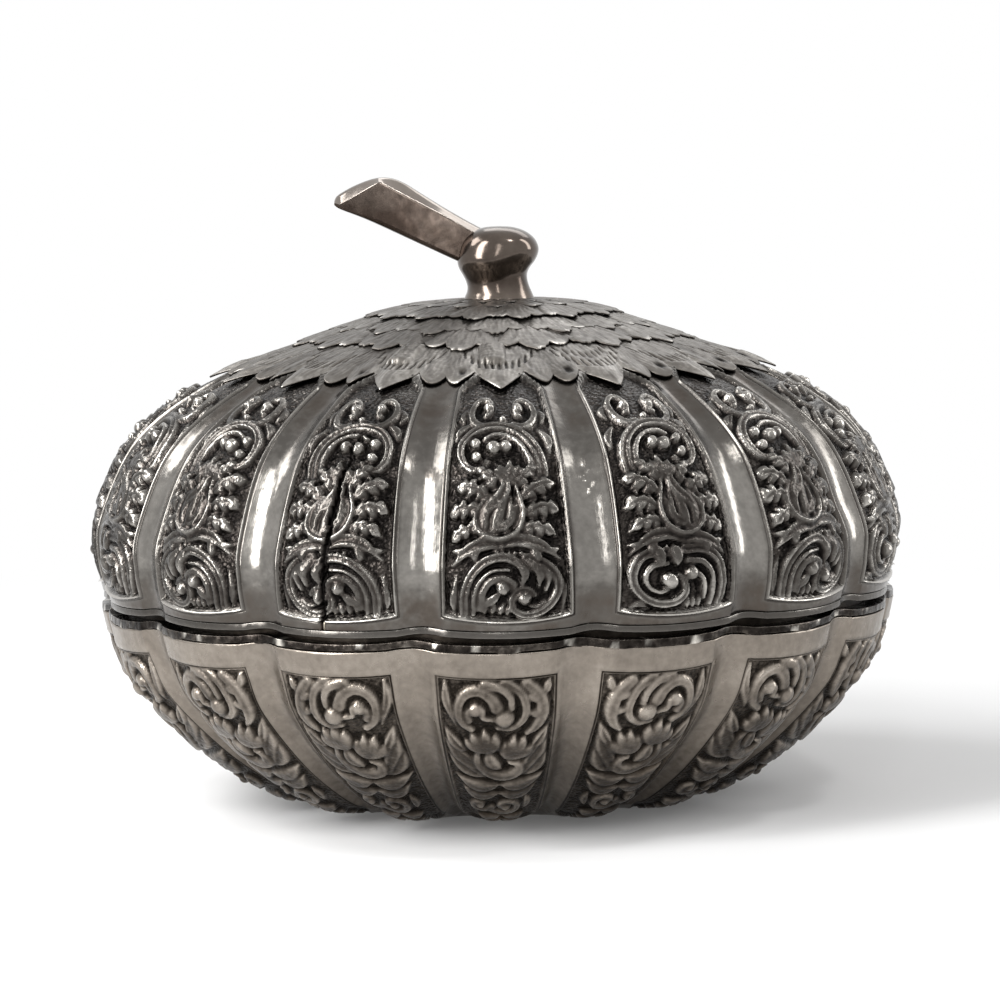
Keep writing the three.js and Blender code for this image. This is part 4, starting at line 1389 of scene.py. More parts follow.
@dataclass
class Stem:
    """The cast stem: a bulb on a short neck, and a flat blade that bends out of it to the upper left."""

    off_centre: float = 1.4
    bulb_centre: float = 107.35
    reach: float = 32.6
    half_thickness: float = 2.7
    heights: tuple[float, ...] = (98.5, 99.2, 100.0, 101.0, 102.2, 103.4, 104.6, 105.8, 107.0, 108.2, 109.4,
                                  110.5, 111.5, 112.2, 112.65, 112.8)
    radii: tuple[float, ...] = (7.0, 6.7, 6.35, 6.1, 6.1, 6.4, 7.0, 7.6, 7.9, 7.9, 7.6, 6.95, 5.8, 4.3, 2.5,
                                0.2)
    leans: tuple[float, ...] = (0.0, 0.0, 0.0, 0.15, 0.45, 0.75, 0.85, 0.6, 0.3, 0.0, -0.1, -0.1, 0.0, 0.0,
                                0.0, 0.0)

    def bulb(self, material: Material) -> SceneObject:
        """The bulb, neck and stud: radius by height, a lean towards the blade's side and a slight swirl.

        Args:
            material: the finish of the cast metal.

        Returns:
            The new object.
        """
        dense = spline(list(zip(self.heights, self.radii, self.leans)), per_span=5)
        stud = np.array([[90.8, 0.3, 0], [90.8, 2.6, 0], [91.1, 2.9, 0], [98.4, 2.9, 0]])
        line = np.concatenate([stud, dense])
        angle, r = np.meshgrid(circle(128), line[:, 1])
        z, lean = (np.broadcast_to(line[:, k : k + 1], r.shape) for k in (0, 2))
        body = smooth(101, 104, z) * smooth(112.4, 109, z)
        swirl = 0.09 * np.sin(3 * angle + (z - 100) * 0.55) + 0.05 * np.sin(5 * angle - (z - 100) * 0.8)
        r = r - lean * np.sin(angle) + swirl * body
        points = around(r, angle, z, (self.off_centre, 0.0))
        wear = 0.54 + 0.12 * smooth(101, 98.6, z) - 0.1 * np.exp(-(((z - 102.4) / 1.2) ** 2))
        quads = grid_quads(*z.shape, round_cols=True)
        label = Label("stem_bulb", "lid", "cast_stem", "stem_finial")
        return Piece(label, points, quads, finish_values(wear, z.shape), end_fans(*z.shape)).build(material)

    def blade(self, material: Material) -> SceneObject:
        """The blade: a section with a flat face and a bevel above it, carried between its two edges.

        Args:
            material: the finish of the cast metal.

        Returns:
            The new object.
        """
        lower = [(0.02, -0.115), (-0.12, -0.1), (-0.24, -0.045), (-0.461, 0.061), (-0.768, 0.209),
                 (-0.921, 0.273), (-0.965, 0.294), (-0.985, 0.311)]
        ridge = [(0.02, 0.07), (-0.1, 0.11), (-0.185, 0.158), (-0.339, 0.248), (-0.492, 0.329), (-0.7, 0.444),
                 (-0.714, 0.446), (-0.728, 0.439), (-0.952, 0.315), (-0.985, 0.326)]
        upper = [(0.02, 0.14), (-0.08, 0.15), (-0.155, 0.185), (-0.308, 0.275), (-0.461, 0.372),
                 (-0.553, 0.432), (-0.63, 0.465), (-0.707, 0.473), (-0.783, 0.457), (-0.875, 0.421),
                 (-0.946, 0.383), (-0.975, 0.361), (-0.985, 0.343)]
        run = np.concatenate([np.linspace(0.02, -0.93, 110), np.linspace(-0.935, -0.985, 12)])
        low, high = (np.interp(-run, *(spline(line, per_span=14).T * [[-1], [1]])) for line in (lower, upper))
        fold = np.interp(-run, *(-np.array(ridge)[:, 0], np.array(ridge)[:, 1]))
        # Rows: share towards the ridge, share over the bevel, side of the thickness, wear. The wear of 0.95
        # on the ridge and 0.7 to 0.9 over the bevel is partly edge wear and partly painted highlight where
        # these edges catch the light.
        section = np.array([(0, 0, 0, 0.5), (0.01, 0, -0.5, 0.5), (0.03, 0, -0.8, 0.45),
                            (0.07, 0, -0.96, 0.42), (0.1, 0, -1, 0.36), (0.13, 0, -1, 0.38),
                            (0.5, 0, -1, 0.4), (0.95, 0, -1, 0.44), (0.975, 0, -1, 0.6), (1, 0, -0.985, 0.95),
                            (1, 0.06, -0.93, 0.9), (1, 0.1, -0.88, 0.85), (1, 0.6, -0.45, 0.85),
                            (1, 0.9, -0.1, 0.8), (1, 1, 0.2, 0.7), (1, 0.9, 0.6, 0.55), (1, 0.5, 0.9, 0.5),
                            (0.9, 0, 1, 0.5), (0.15, 0, 1, 0.5), (0.03, 0, 0.7, 0.55)])
        face, bevel, v, wear = section.T
        rise = low[:, None] + face * (fold - low)[:, None] + bevel * (high - fold)[:, None]
        z = rise * self.reach + self.bulb_centre
        x = np.broadcast_to(run[:, None] * self.reach + self.off_centre, z.shape)
        y = self.half_thickness * (1 - 0.25 * run**2)[:, None] * v
        points, quads = np.stack([x, y, z], -1), grid_quads(*z.shape, round_cols=True)
        label = Label("stem_blade", "lid", "cast_stem", "stem_finial")
        return Piece(label, points, quads, finish_values(wear, z.shape), end_fans(*z.shape)).build(material)

    def build(self, material: Material) -> None:
        """Makes both castings, the blade let into the bulb."""
        self.bulb(material)
        self.blade(material)


@dataclass
class TrayPlate:
    """The lift-out tray: a raised plate with an upright rim and four round holes for the cups."""

    under: float = 33.1
    wall: float = 1.0
    radius: float = 70.04
    rim_rise: float = 5.0
    bend: float = 1.2
    cup_circle: float = 40.62
    hole: float = 19.1
    shank_hole: float = 2.0

    def cup_places(self) -> list[tuple[float, float]]:
        """Centres of the four cups."""
        turns = [(k + 0.5) * math.pi / 2 for k in range(4)]
        return [(self.cup_circle * math.cos(turn), self.cup_circle * math.sin(turn)) for turn in turns]

    def build(self, material: Material) -> SceneObject:
        """Turns the plate and punches its holes.

        Args:
            material: the tray's finish.

        Returns:
            The new object.
        """
        top = self.under + self.wall
        outer, inner = self.radius, self.radius - self.wall
        corners = [(0, self.under), (outer - self.bend, self.under), (outer, self.under + self.bend),
                   (outer, self.under + self.rim_rise), (inner, self.under + self.rim_rise),
                   (inner, top + self.bend / 2), (inner - self.bend / 2, top), (0, top)]
        outline = open_outline(corners, radius=0.42)
        angle, r = np.meshgrid(circle(240), outline[:, 0])
        points = around(r, angle, np.broadcast_to(outline[:, 1:], r.shape)).reshape(-1, 3)
        faces = grid_quads(*r.shape, round_cols=True).tolist() + end_fans(*r.shape)
        plate = helper("plate_blank", points * MM, faces)
        holes = [(x, y, self.hole, 128) for x, y in self.cup_places()] + [(0.0, 0.0, self.shank_hole, 48)]
        for x, y, radius, sides in holes:
            spots = circle(sides)
            ring = np.stack([x + radius * np.cos(spots), y + radius * np.sin(spots)], 1)
            low, high = (np.c_[ring, np.full(sides, z)] for z in (self.under - 2, top + 2))
            faces = grid_quads(2, sides, round_cols=True).tolist() + end_fans(2, sides)
            punch = helper("punch", np.concatenate([low, high]) * MM, faces)
            cut = plate.modifiers.new("cut", "BOOLEAN")
            cut.operation, cut.solver, cut.object = "DIFFERENCE", "EXACT", punch
            points, faces = evaluated(plate)
            discard(punch)
            plate = helper("plate_blank", points, faces)
        points, faces = evaluated(plate)
        label, no_quads = Label("tray_plate", "tray", "plain_silver", "tray"), np.zeros((0, 4), int)
        values = finish_values(PLAIN_WEAR, (len(points),))
        thing = Piece(label, points / MM, no_quads, values, faces).build(material)
        thing.data.set_sharp_from_angle(angle=math.radians(32))
        return thing


def linear(hex_colour: str) -> tuple[float, float, float, float]:
    """An sRGB hex colour as linear red, green, blue and full opacity.

    Args:
        hex_colour: six hex digits after a hash.

    Returns:
        The linear colour.
    """
    values = [int(hex_colour[k : k + 2], 16) / 255 for k in (1, 3, 5)]
    red, green, blue = (v / 12.92 if v <= 0.04045 else ((v + 0.055) / 1.055) ** 2.4 for v in values)
    return red, green, blue, 1.0


def add_node(tree: NodeTree, kind: str, inputs: dict | None = None, **settings: object) -> bpy.types.Node:
    """Adds a shader node with its settings, and its inputs as plain values or as sockets to link from.

    Args:
        tree: the tree that it goes into.
        kind: the node's type, without the prefix that all have.
        inputs: value or output socket for each input, by name or number.
        settings: the node's own settings.

    Returns:
        The node.
    """
    node = tree.nodes.new("ShaderNode" + kind)
    for key, value in settings.items():
        setattr(node, key, value)
    for key, value in (inputs or {}).items():
        if isinstance(value, Socket):
            tree.links.new(value, node.inputs[key])
        else:
            node.inputs[key].default_value = value
    return node


def emptied(owner: Material | bpy.types.World) -> NodeTree:
    """The owner's node tree, switched on and empty."""
    owner.use_nodes = True
    owner.node_tree.nodes.clear()
    return owner.node_tree


def seen_share(tree: NodeTree) -> Socket:
    """1 where the camera looks, straight, off gloss or through glass, and 0 where only light is counted."""
    path = add_node(tree, "LightPath").outputs
    seen = path["Is Camera Ray"]
    for kind in ("Is Glossy Ray", "Is Transmission Ray"):
        seen = add_node(tree, "Math", {0: seen, 1: path[kind]}, operation="MAXIMUM").outputs[0]
    return seen


def shade_ramp(tree: NodeTree, source: Socket, stops: Sequence[tuple[float, str]]) -> Socket:
    """A colour for each value between 0 and 1, blended evenly from stop to stop.

    Args:
        tree: the tree that it goes into.
        source: the value.
        stops: place and hex colour of each stop.

    Returns:
        The colour's socket.
    """
    node = add_node(tree, "ValToRGB", {"Fac": source})
    ramp = node.color_ramp
    while len(ramp.elements) < len(stops):
        ramp.elements.new(0.5)
    for element, (place, colour) in zip(ramp.elements, stops):
        element.position = place
        element.color = linear(colour)
    return node.outputs["Color"]


@dataclass(frozen=True)
class SilverFinish:
    """Silver raised and chased by hand, left to tarnish and worn bright where hands reach.

    To the eye: dark sulphide in the hollows and on the matted ground, grey slopes and pale burnished crests.
    """

    name: str
    hollow: str
    ground: str
    slope: str
    crest: str
    stain: str = "#5b4536"
    rough_hollow: float = 0.5
    rough_crest: float = 0.24
    cloud_mm: float = 14.0
    cloud: float = 0.12
    speck_mm: float = 1.3
    speck: float = 0.16
    matting_mm: float = 0.75
    matting: float = 0.0
    hammer_mm: float = 3.2
    hammer: float = 0.05
    scratch: float = 0.012
    plain_share: float = 1.0
    facets: float = 0.0

    def material(self) -> Material:
        """Builds the node tree: finish attribute and noises give colour, roughness and bump.

        Returns:
            The material.
        """
        material = bpy.data.materials.new(self.name)
        tree = emptied(material)
        place = add_node(tree, "TexCoord").outputs["Object"]
        values = add_node(tree, "Attribute", attribute_name="finish").outputs["Vector"]
        parts = add_node(tree, "SeparateXYZ", {"Vector": values})
        wear, matted, stained = (parts.outputs[k] for k in ("X", "Y", "Z"))

        def noise(size_mm: float, detail: float, source: Socket = place, warp: float = 0.0) -> Socket:
            """Cloudy noise with forms of the given size."""
            settings = {"Vector": source, "Scale": 1000 / size_mm, "Detail": detail, "Roughness": 0.55,
                        "Distortion": warp}
            return add_node(tree, "TexNoise", settings).outputs["Fac"]

        def spread(source: Socket, low: float, high: float, to_low: float, to_high: float) -> Socket:
            """Carries one range evenly over to another and stops at its ends."""
            settings = {"Value": source, "From Min": low, "From Max": high, "To Min": to_low,
                        "To Max": to_high}
            return add_node(tree, "MapRange", settings, clamp=True).outputs["Result"]

        def joined(kind: str, first: Socket | float, second: Socket | float) -> Socket:
            """A sum, difference or product of two values."""
            return add_node(tree, "Math", {0: first, 1: second}, operation=kind).outputs[0]

        def vector(kind: str, first: Socket, second: Socket | Sequence[float] = (0.0, 0.0, 0.0)) -> Socket:
            """The same for vectors, and a vector's direction."""
            return add_node(tree, "VectorMath", {0: first, 1: second}, operation=kind).outputs[0]

        def bumped(height: Socket, strength: float, reach: float, under: Socket | None = None) -> Socket:
            """The normal tilted by a height, on top of another bump if one is given."""
            below = {"Normal": under} if under else {}
            inputs = {"Strength": strength, "Distance": reach, "Height": height, **below}
            return add_node(tree, "Bump", inputs).outputs["Normal"]

        worked = spread(matted, 0.0, 0.35, self.plain_share, 1.0)
        clouds = spread(noise(self.cloud_mm, 5.0, warp=0.6), 0.3, 0.7, -self.cloud, self.cloud)
        specks = spread(noise(self.speck_mm, 4.0), 0.3, 0.7, -self.speck, self.speck)
        matted = spread(matted, 0.4, 1.0, 0.0, 1.0)
        shade = joined("ADD", wear, joined("MULTIPLY", joined("ADD", clouds, specks), worked))
        shade = joined("SUBTRACT", shade, joined("MULTIPLY", matted, 0.1))
        stops = [(0.1, self.hollow), (0.36, self.ground), (0.62, self.slope), (0.95, self.crest)]
        colour = shade_ramp(tree, shade, stops)
        blotch = joined("MULTIPLY", stained, spread(noise(5.0, 6.0, warp=0.4), 0.35, 0.62, 0.15, 1.0))
        inputs = {"Factor": blotch, 6: colour, 7: linear(self.stain)}
        mixed = add_node(tree, "Mix", inputs, data_type="RGBA")
        rough = spread(shade, 0.15, 0.95, self.rough_hollow, self.rough_crest)
        rough = joined("ADD", rough, spread(noise(2.1, 3.0), 0.3, 0.7, -0.05, 0.06))
        cells = add_node(tree, "TexVoronoi", {"Vector": place, "Scale": 1000 / self.matting_mm})
        bump = bumped(joined("MULTIPLY", cells.outputs["Distance"], matted), self.matting, 0.4 * MM)
        facets = spread(parts.outputs["Y"], 0.1, 0.4, 0.0, self.facets / self.hammer)
        chiselled = joined("MULTIPLY", noise(0.9, 1.0), facets)
        beaten = joined("ADD", noise(self.hammer_mm, 2.0), chiselled)
        bump = bumped(beaten, 1.0, self.hammer * MM * 4, bump)
        outward = vector("NORMALIZE", vector("MULTIPLY", place, (1.0, 1.0, 0.0)))
        round_it = vector("MULTIPLY", outward, (0.08, 0.08, 0.0))
        along = vector("ADD", round_it, vector("MULTIPLY", place, (0.0, 0.0, 0.06)))
        bump = bumped(noise(0.55, 3.0, along), 1.0, self.scratch * MM * 4, bump)
        inputs = {"Base Color": mixed.outputs[2], "Metallic": 1.0, "Roughness": rough, "Normal": bump}
        shader = add_node(tree, "BsdfPrincipled", inputs)
        add_node(tree, "OutputMaterial", {"Surface": shader.outputs["BSDF"]})
        return material


# The lid's colours are dark partly for tarnish and partly as painted shade, standing in for dark surroundings
# mirrored in the metal.
TARNISHED_AND_SHADED_LID = SilverFinish(
    "tarnished_and_shaded_silver", "#151312", "#383431", "#5c5955", "#b2aea8", stain="#443a32", rough_hollow=0.34,
    rough_crest=0.12, plain_share=0.35, speck=0.08, matting=0.7, hammer=0.025, scratch=0.005, facets=0.05,
)
WARM_BASE = SilverFinish(
    "warm_chased_silver", "#231f1b", "#49433d", "#857d74", "#b5ada3", stain="#5c4e3e", rough_hollow=0.46,
    rough_crest=0.2, plain_share=0.6, speck=0.07, matting=0.7, hammer=0.04, scratch=0.006, facets=0.04,
)
DARK_LEAF = SilverFinish(
    "pierced_leaf_silver", "#1c1917", "#4a4642", "#716d68", "#bab6b0", rough_crest=0.28, speck=0.08,
)
SOLDERED_STRIP = SilverFinish(
    "soldered_strip", "#0b0a09", "#191614", "#2e2a27", "#5c5650", stain="#d9d4cb", rough_hollow=0.34,
    rough_crest=0.2, cloud=0.22, speck=0.2, hammer=0.1,
)
# The stem's colours are the cast metal's own brown, darkened further as painted shade for dark surroundings
# mirrored in it.
SHADED_CAST_STEM = SilverFinish(
    "brown_cast_metal_and_shade", "#171210", "#332b26", "#665d56", "#968e87", stain="#20150f", rough_hollow=0.2,
    rough_crest=0.1, cloud_mm=9.0, cloud=0.06, hammer_mm=5.0, hammer=0.012, speck=0.02, scratch=0.0004,
)
PLAIN_INSIDE = SilverFinish(
    "planished_silver", "#4a443c", "#8b8375", "#bdb5a7", "#e9e3d8", rough_hollow=0.42, rough_crest=0.3,
    cloud=0.16, hammer_mm=4.5,
)
CUP_SILVER = SilverFinish(
    "spun_cup_silver", "#5a534a", "#9b9385", "#c8c1b4", "#efeae0", rough_hollow=0.38, hammer_mm=6.0,
)


@dataclass
class LidAssembly:
    """The domed lid with its band, two leaf mantles and the cast stem."""

    ornament: LidOrnament = field(default_factory=LidOrnament)
    off_centre: float = 1.4
    leaf_lift: float = 0.35
    crown_lift: float = 1.15

    def marks(self) -> tuple[Blemish, ...]:
        """Dents and stains of the lid."""
        return (
            Blemish(-0.46, 30.0, 3.5, 0.0, 0.5), Blemish(-0.9, 24.0, 6.0, 0.35),
            Blemish(0.5, 30.0, 1.6, 0.35), Blemish(0.52, 27.2, 1.2, 0.3), Blemish(2.4, 20.0, 7.0, 0.5, 0.4),
            Blemish(-2.6, 16.0, 6.0, 0.3, 0.7), Blemish(6.3, 30.0, 8.0, 0.6),
            Blemish(9.6, 12.0, 7.0, 0.5, 0.6),
        )

    def shell(self) -> ChasedShell:
        """The chased dome."""
        plain, turned = {zone: (Hand.PLAIN, 0) for zone in Zone}, (Hand.TURNED, 0)
        front = {
            0: plain,
            1: {**plain, Zone.SCROLL: (Hand.PLAIN, 1), Zone.FLOWER: turned, Zone.ARCH: turned},
            2: plain,
            15: {**plain, Zone.SCROLL: turned, Zone.ARCH: turned},
        }
        facing = (Hand.TURNED, Hand.PLAIN)
        others = {
            lobe: {zone: (facing[(lobe + place) % 2], lobe % 2) for place, zone in enumerate(Zone)}
            for lobe in range(3, 15)
        }
        return ChasedShell(
            Label("lid_shell", "lid", "tarnished_silver", "lid_dome"), LID_LOBES, self.ornament.zones(),
            self.ornament.canvas(), {**others, **front}, panel_start=2.0, panel_end=62.0, fine_end=54.0,
            sheet_end=67.0, fine_step=0.28, wall=0.8, relief=1.2, sunk=1.0,
            border=Border((0.2, 0.16, 0.22, 0.16), (0.62, 0.12, -0.1, -0.3)), smile=0.6, foot=(0.3, 0.5),
            painted_rib_sheen=0.12, blemishes=self.marks(), crack_lobe=15, off_centre=self.off_centre, rib_stain_and_shade=0.55,
        )

    def tongue_leaves(self) -> LeafMantle:
        """The mantle's lowest row: pointed tongues over the panels."""
        tongues = (LeafTip(0.0, 56.3, 1.3, 1.15), LeafTip(7.9, 52.7, 0.5))
        tier = LeafTier(tongues, shift=0.0, level=0.5, curl=0.0, curl_reach=1.2, rows=38, finger=4.6,
                        length=16.0, dome=0.22)
        return LeafMantle(
            Label("tongue_leaves", "lid", "leaf_silver", "leaf_mantle_outer"), LID_LOBES, (tier,),
            inner_radius=37.0, under=self.leaf_lift, off_centre=self.off_centre, columns=84, tongue=True,
            droop=0.22,
        )

    def lower_leaves(self) -> LeafMantle:
        """The rows above the tongues, of three-fingered leaves."""
        trefoils = (LeafTip(0.0, 39.6, 0.42), LeafTip(4.7, 37.7, 0.42))
        small = (LeafTip(0.0, 31.9, 0.45), LeafTip(3.9, 30.2, 0.5))
        tiers = (
            LeafTier(trefoils, shift=0.5, level=0.8, curl=-0.05, curl_reach=1.6, rows=26, finger=3.2,
                     length=10.0, dome=0.4, sway=0.04, ragged=0.3),
            LeafTier(small, shift=0.0, level=0.98, curl=-0.05, curl_reach=1.5, rows=24, finger=2.6,
                     length=9.0, dome=0.4, sway=0.05, ragged=0.3),
        )
        return LeafMantle(
            Label("lower_leaves", "lid", "leaf_silver", "leaf_mantle_outer"), LID_LOBES, tiers,
            inner_radius=24.0, under=self.leaf_lift + 0.05, off_centre=self.off_centre, columns=48,
        )

    def upper_leaves(self) -> LeafMantle:
        """The small mantle round the stem's foot, in three rows."""
        tiers = (
            LeafTier((LeafTip(0.0, 25.3, 0.4), LeafTip(3.2, 24.0, 0.5)), shift=0.5, level=1.5, curl=0.0,
                     curl_reach=1.4, rows=20, finger=2.3, length=9.0, dome=0.35, sway=0.07, ragged=0.3),
            LeafTier((LeafTip(0.0, 18.0, 0.4),), shift=0.0, level=1.65, curl=0.0, curl_reach=1.2, rows=16,
                     finger=3.0, length=8.0, dome=0.35, sway=0.07, ragged=0.25),
            LeafTier((LeafTip(0.0, 12.2, 0.8),), shift=0.5, level=1.8, curl=0.0, curl_reach=1.0, rows=12,
                     finger=1.9, length=6.0, dome=0.25, sway=0.05, ragged=0.2),
        )
        return LeafMantle(
            Label("upper_leaves", "lid", "leaf_silver", "leaf_mantle_inner"), LID_LOBES, tiers,
            inner_radius=3.6, under=self.crown_lift + 0.3, off_centre=self.off_centre, columns=32,
        )

    def band(self) -> LobedBand:
        """The soldered strip round the lid's rim."""
        outline = [(-2.9, JOINT + 0.6), (-0.1, JOINT + 0.6), (-0.1, JOINT + 1.8), (-2.9, JOINT + 1.8)]
        label = Label("lid_band", "lid", "solder_strip", "lid_rim_strip")
        # Shine 0.75 darkens the strip: painted shade, the strip being tucked in under the lid's edge.
        return LobedBand(label, LID_LOBES, outline, rounding=0.14, unevenness=0.04, shine=0.75)

    def build(self, silver: Material, leaf: Material, cast: Material, inside: Material) -> None:
        """Makes every piece of the lid.

        Args:
            silver: finish of the dome and its band.
            leaf: finish of the leaves.
            cast: finish of the stem.
            inside: finish of the lining, washer and nut.
        """
        shell = self.shell()
        shell.build(silver)
        arc = np.linspace(shell.lobes.meridian.arc[-1], shell.lobes.meridian.arc_at_radius(47.5), 30)
        r, z = shell.lobes.meridian.at(arc)[:2]
        under_leaves = 0.02
        Lining("lid_lining", shell, np.c_[r, z - under_leaves]).build(inside)
        self.band().build(silver)
        for leaves in (self.tongue_leaves(), self.lower_leaves(), self.upper_leaves()):
            leaves.build(leaf)
        Stem(self.off_centre).build(cast)
        washer = filleted([(3.2, 94.5), (9.0, 94.5), (9.0, 95.5), (3.2, 95.5)], radius=0.25)
        label = Label("stem_washer_ring", "lid", "plain_silver", "stem_washer")
        Turned(label, washer, (self.off_centre, 0.0), capped=False).build(inside)
        dress("stem_nut", inside)


@dataclass
class BaseAssembly:
    """The lobed bowl with its band, the collar that the lid slips over, and the ledge for the tray."""

    ornament: BaseOrnament = field(default_factory=BaseOrnament)

    def shell(self) -> ChasedShell:
        """The chased bowl."""
        marks = (
            Blemish(1.3, 30.0, 8.0, 0.4, 0.3), Blemish(-1.2, 40.0, 9.0, 0.5),
            Blemish(5.0, 25.0, 8.0, 0.5, 0.5), Blemish(10.4, 30.0, 9.0, 0.6),
            Blemish(0.02, 52.0, 7.0, 0.3, 0.6),
        )
        facing = (Hand.PLAIN, Hand.TURNED)
        hands = {
            lobe: {zone: (facing[(lobe + place * (lobe // 3)) % 2], 0) for place, zone in enumerate(Zone)}
            for lobe in range(LOBES)
        }
        return ChasedShell(
            Label("base_shell", "base", "base_silver", "base_bowl"), BASE_LOBES, self.ornament.zones(),
            self.ornament.canvas(), hands, panel_start=4.9, panel_end=61.0, fine_end=57.0,
            sheet_end=BASE_MERIDIAN.arc[-1] - 0.2, fine_step=0.36, wall=0.9, relief=1.0, sunk=0.85,
            border=Border((0.85, 0.35, 0.08, 0.03), (0.02, 0.16, -0.3, -0.6)), painted_shade_off_joint=0.2, blemishes=marks,
        )

    def build(self, silver: Material, strip: Material, inside: Material) -> None:
        """Makes every piece of the base.

        Args:
            silver: finish of the bowl, its foot and the collar.
            strip: finish of the band.
            inside: finish of the lining and ledge.
        """
        shell = self.shell()
        shell.build(silver)
        floor = [(27.5, 1.0), (24.0, 1.12), (16.0, 1.2), (8.0, 1.22), (0.5, 1.22)]
        Lining("base_lining", shell, floor).build(inside)
        foot = np.array([(0.3, 0.2), (8.0, 0.2), (16.0, 0.18), (22.0, 0.12), (24.5, 0.02), (25.6, 0.0),
                         (26.6, 0.0), (27.4, 0.05), (28.3, 0.2), (29.0, 0.42), (28.4, 0.9), (0.3, 0.9)])
        Turned(Label("base_foot", "base", "base_silver", "base_bowl"), foot, segments=192).build(silver)
        low, high = JOINT - 1.75, JOINT - 0.5
        outline = [(-3.7, low), (0.0, low), (0.0, high), (-3.7, high)]
        label = Label("base_band", "base", "solder_strip", "base_rim_strip")
        band = LobedBand(label, BASE_LOBES, outline, rounding=0.2, unevenness=0.12, drip=0.35, shine=0.8)
        band.build(strip)
        low, top = JOINT - 5.0, JOINT + 3.8
        outline = [(-5.0, low), (-4.0, low), (-4.0, top - 0.3), (-4.4, top), (-5.0, top)]
        label = Label("collar", "base", "plain_silver", "base_collar")
        # Shine 0.2 keeps the collar dark: painted shade in the gap under the lid's rim.
        LobedBand(label, BASE_LOBES, outline, rounding=0.3, columns=24, shine=0.2).build(silver)
        ledge = filleted([(67.0, 31.6), (71.8, 31.6), (71.8, 32.8), (67.0, 32.8)], radius=0.35)
        label = Label("ledge_ring", "base", "plain_silver", "tray_ledge")
        Turned(label, ledge, segments=256, capped=False).build(inside)


@dataclass
class InsideAssembly:
    """The tray with its lifting knob and four cups."""

    tray: TrayPlate = field(default_factory=TrayPlate)
    cup_mouth: float = 18.6
    cup_floor: float = 12.4
    cup_low: float = 16.9
    cup_flange: float = 34.4
    cup_wall: float = 0.8
    flange_width: float = 2.7
    bulge: float = 1.6

    def cup_outline(self) -> Array:
        """Outline of a cup: its wall runs evenly from floor to mouth and swells by a half sine.

        Returns:
            The outline, from the axis below to the axis above.
        """
        share = np.linspace(0, 1, 16)
        swell = self.bulge * np.sin(share * np.pi)
        radius = self.cup_floor + (self.cup_mouth - self.cup_floor) * share + swell
        height = self.cup_low + (self.cup_flange - self.cup_low) * share
        outer = np.stack([radius, height], 1)
        low, flange, top = self.cup_low, self.cup_flange, self.cup_flange + self.cup_wall
        start = [(self.cup_floor - 0.5, low), (self.cup_floor + 0.25, low + 0.45)]
        lip, floor = self.cup_mouth + self.flange_width, low + self.cup_wall
        edge = [(lip - 0.35, flange), (lip - 0.05, flange + 0.15), (lip, flange + 0.4),
                (lip - 0.05, top - 0.15), (lip - 0.35, top), (lip - 1.0, top - 0.12),
                (self.cup_mouth + 0.5, top - 0.1)]
        inner = np.stack([radius - self.cup_wall, height + self.cup_wall * (1 - 0.6 * share)], 1)[::-1]
        inner[-1] = (self.cup_floor - 1.6, floor)
        rings = [(9.0, floor), (8.6, floor + 0.12), (8.2, floor), (5.0, floor), (4.7, floor + 0.1),
                 (4.4, floor)]
        foot = [(0.3, low + 0.3), (6.0, low + 0.3), (9.6, low + 0.2), (10.6, low)]
        return np.concatenate([foot, start, outer[1:], edge, inner, rings, [(0.3, floor + 0.1)]])

    def knob_outline(self) -> Array:
        """Outline of the knob: a rivet head, a shank, a foot, a waisted neck with a collar, and a ball.

        Returns:
            The outline, from the axis below to the axis above.
        """
        under, foot = 32.8, 34.4
        head = [(0.3, 31.9), (2.4, 31.9), (3.2, 32.1), (3.4, 32.4), (3.4, 32.7), (3.3, under)]
        shank = [(1.75, under), (1.7, under + 0.1), (1.7, foot - 0.05), (1.8, foot)]
        base = [(4.4, foot), (4.6, foot + 0.2), (4.5, foot + 0.5), (3.9, foot + 0.8), (2.9, foot + 1.1),
                (2.4, foot + 1.7), (2.2, foot + 2.4), (2.35, foot + 3.0), (2.9, foot + 3.25),
                (3.0, foot + 3.5), (2.8, foot + 3.75), (2.35, foot + 3.95)]
        turn = np.linspace(0.6, np.pi - 0.06, 18)
        ball = [(4.4 * math.sin(t), 42.4 - 4.4 * math.cos(t)) for t in turn]
        return np.array(head + shank + base + ball)

    def build(self, plain: Material, spun: Material) -> None:
        """Makes the tray, the knob and the cups.

        Args:
            plain: finish of the tray and knob.
            spun: finish of the cups.
        """
        self.tray.build(plain)
        knob = Label("lifting_knob", "tray", "plain_silver", "tray_knob")
        Turned(knob, self.knob_outline(), segments=72).build(plain)
        for number, spot in enumerate(self.tray.cup_places(), 1):
            label = Label(f"cup_dish_{number}", f"cup_{number}", "cup_silver", f"cup_{number}")
            Turned(label, self.cup_outline(), spot).build(spun)


def dress(node: str, material: Material) -> None:
    """Gives a node of the frame its finish.

    Args:
        node: the node's name.
        material: the finish.
    """
    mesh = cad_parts[node].data
    mesh.materials.clear()
    mesh.materials.append(material)
    log.info("%s: dressed", node)


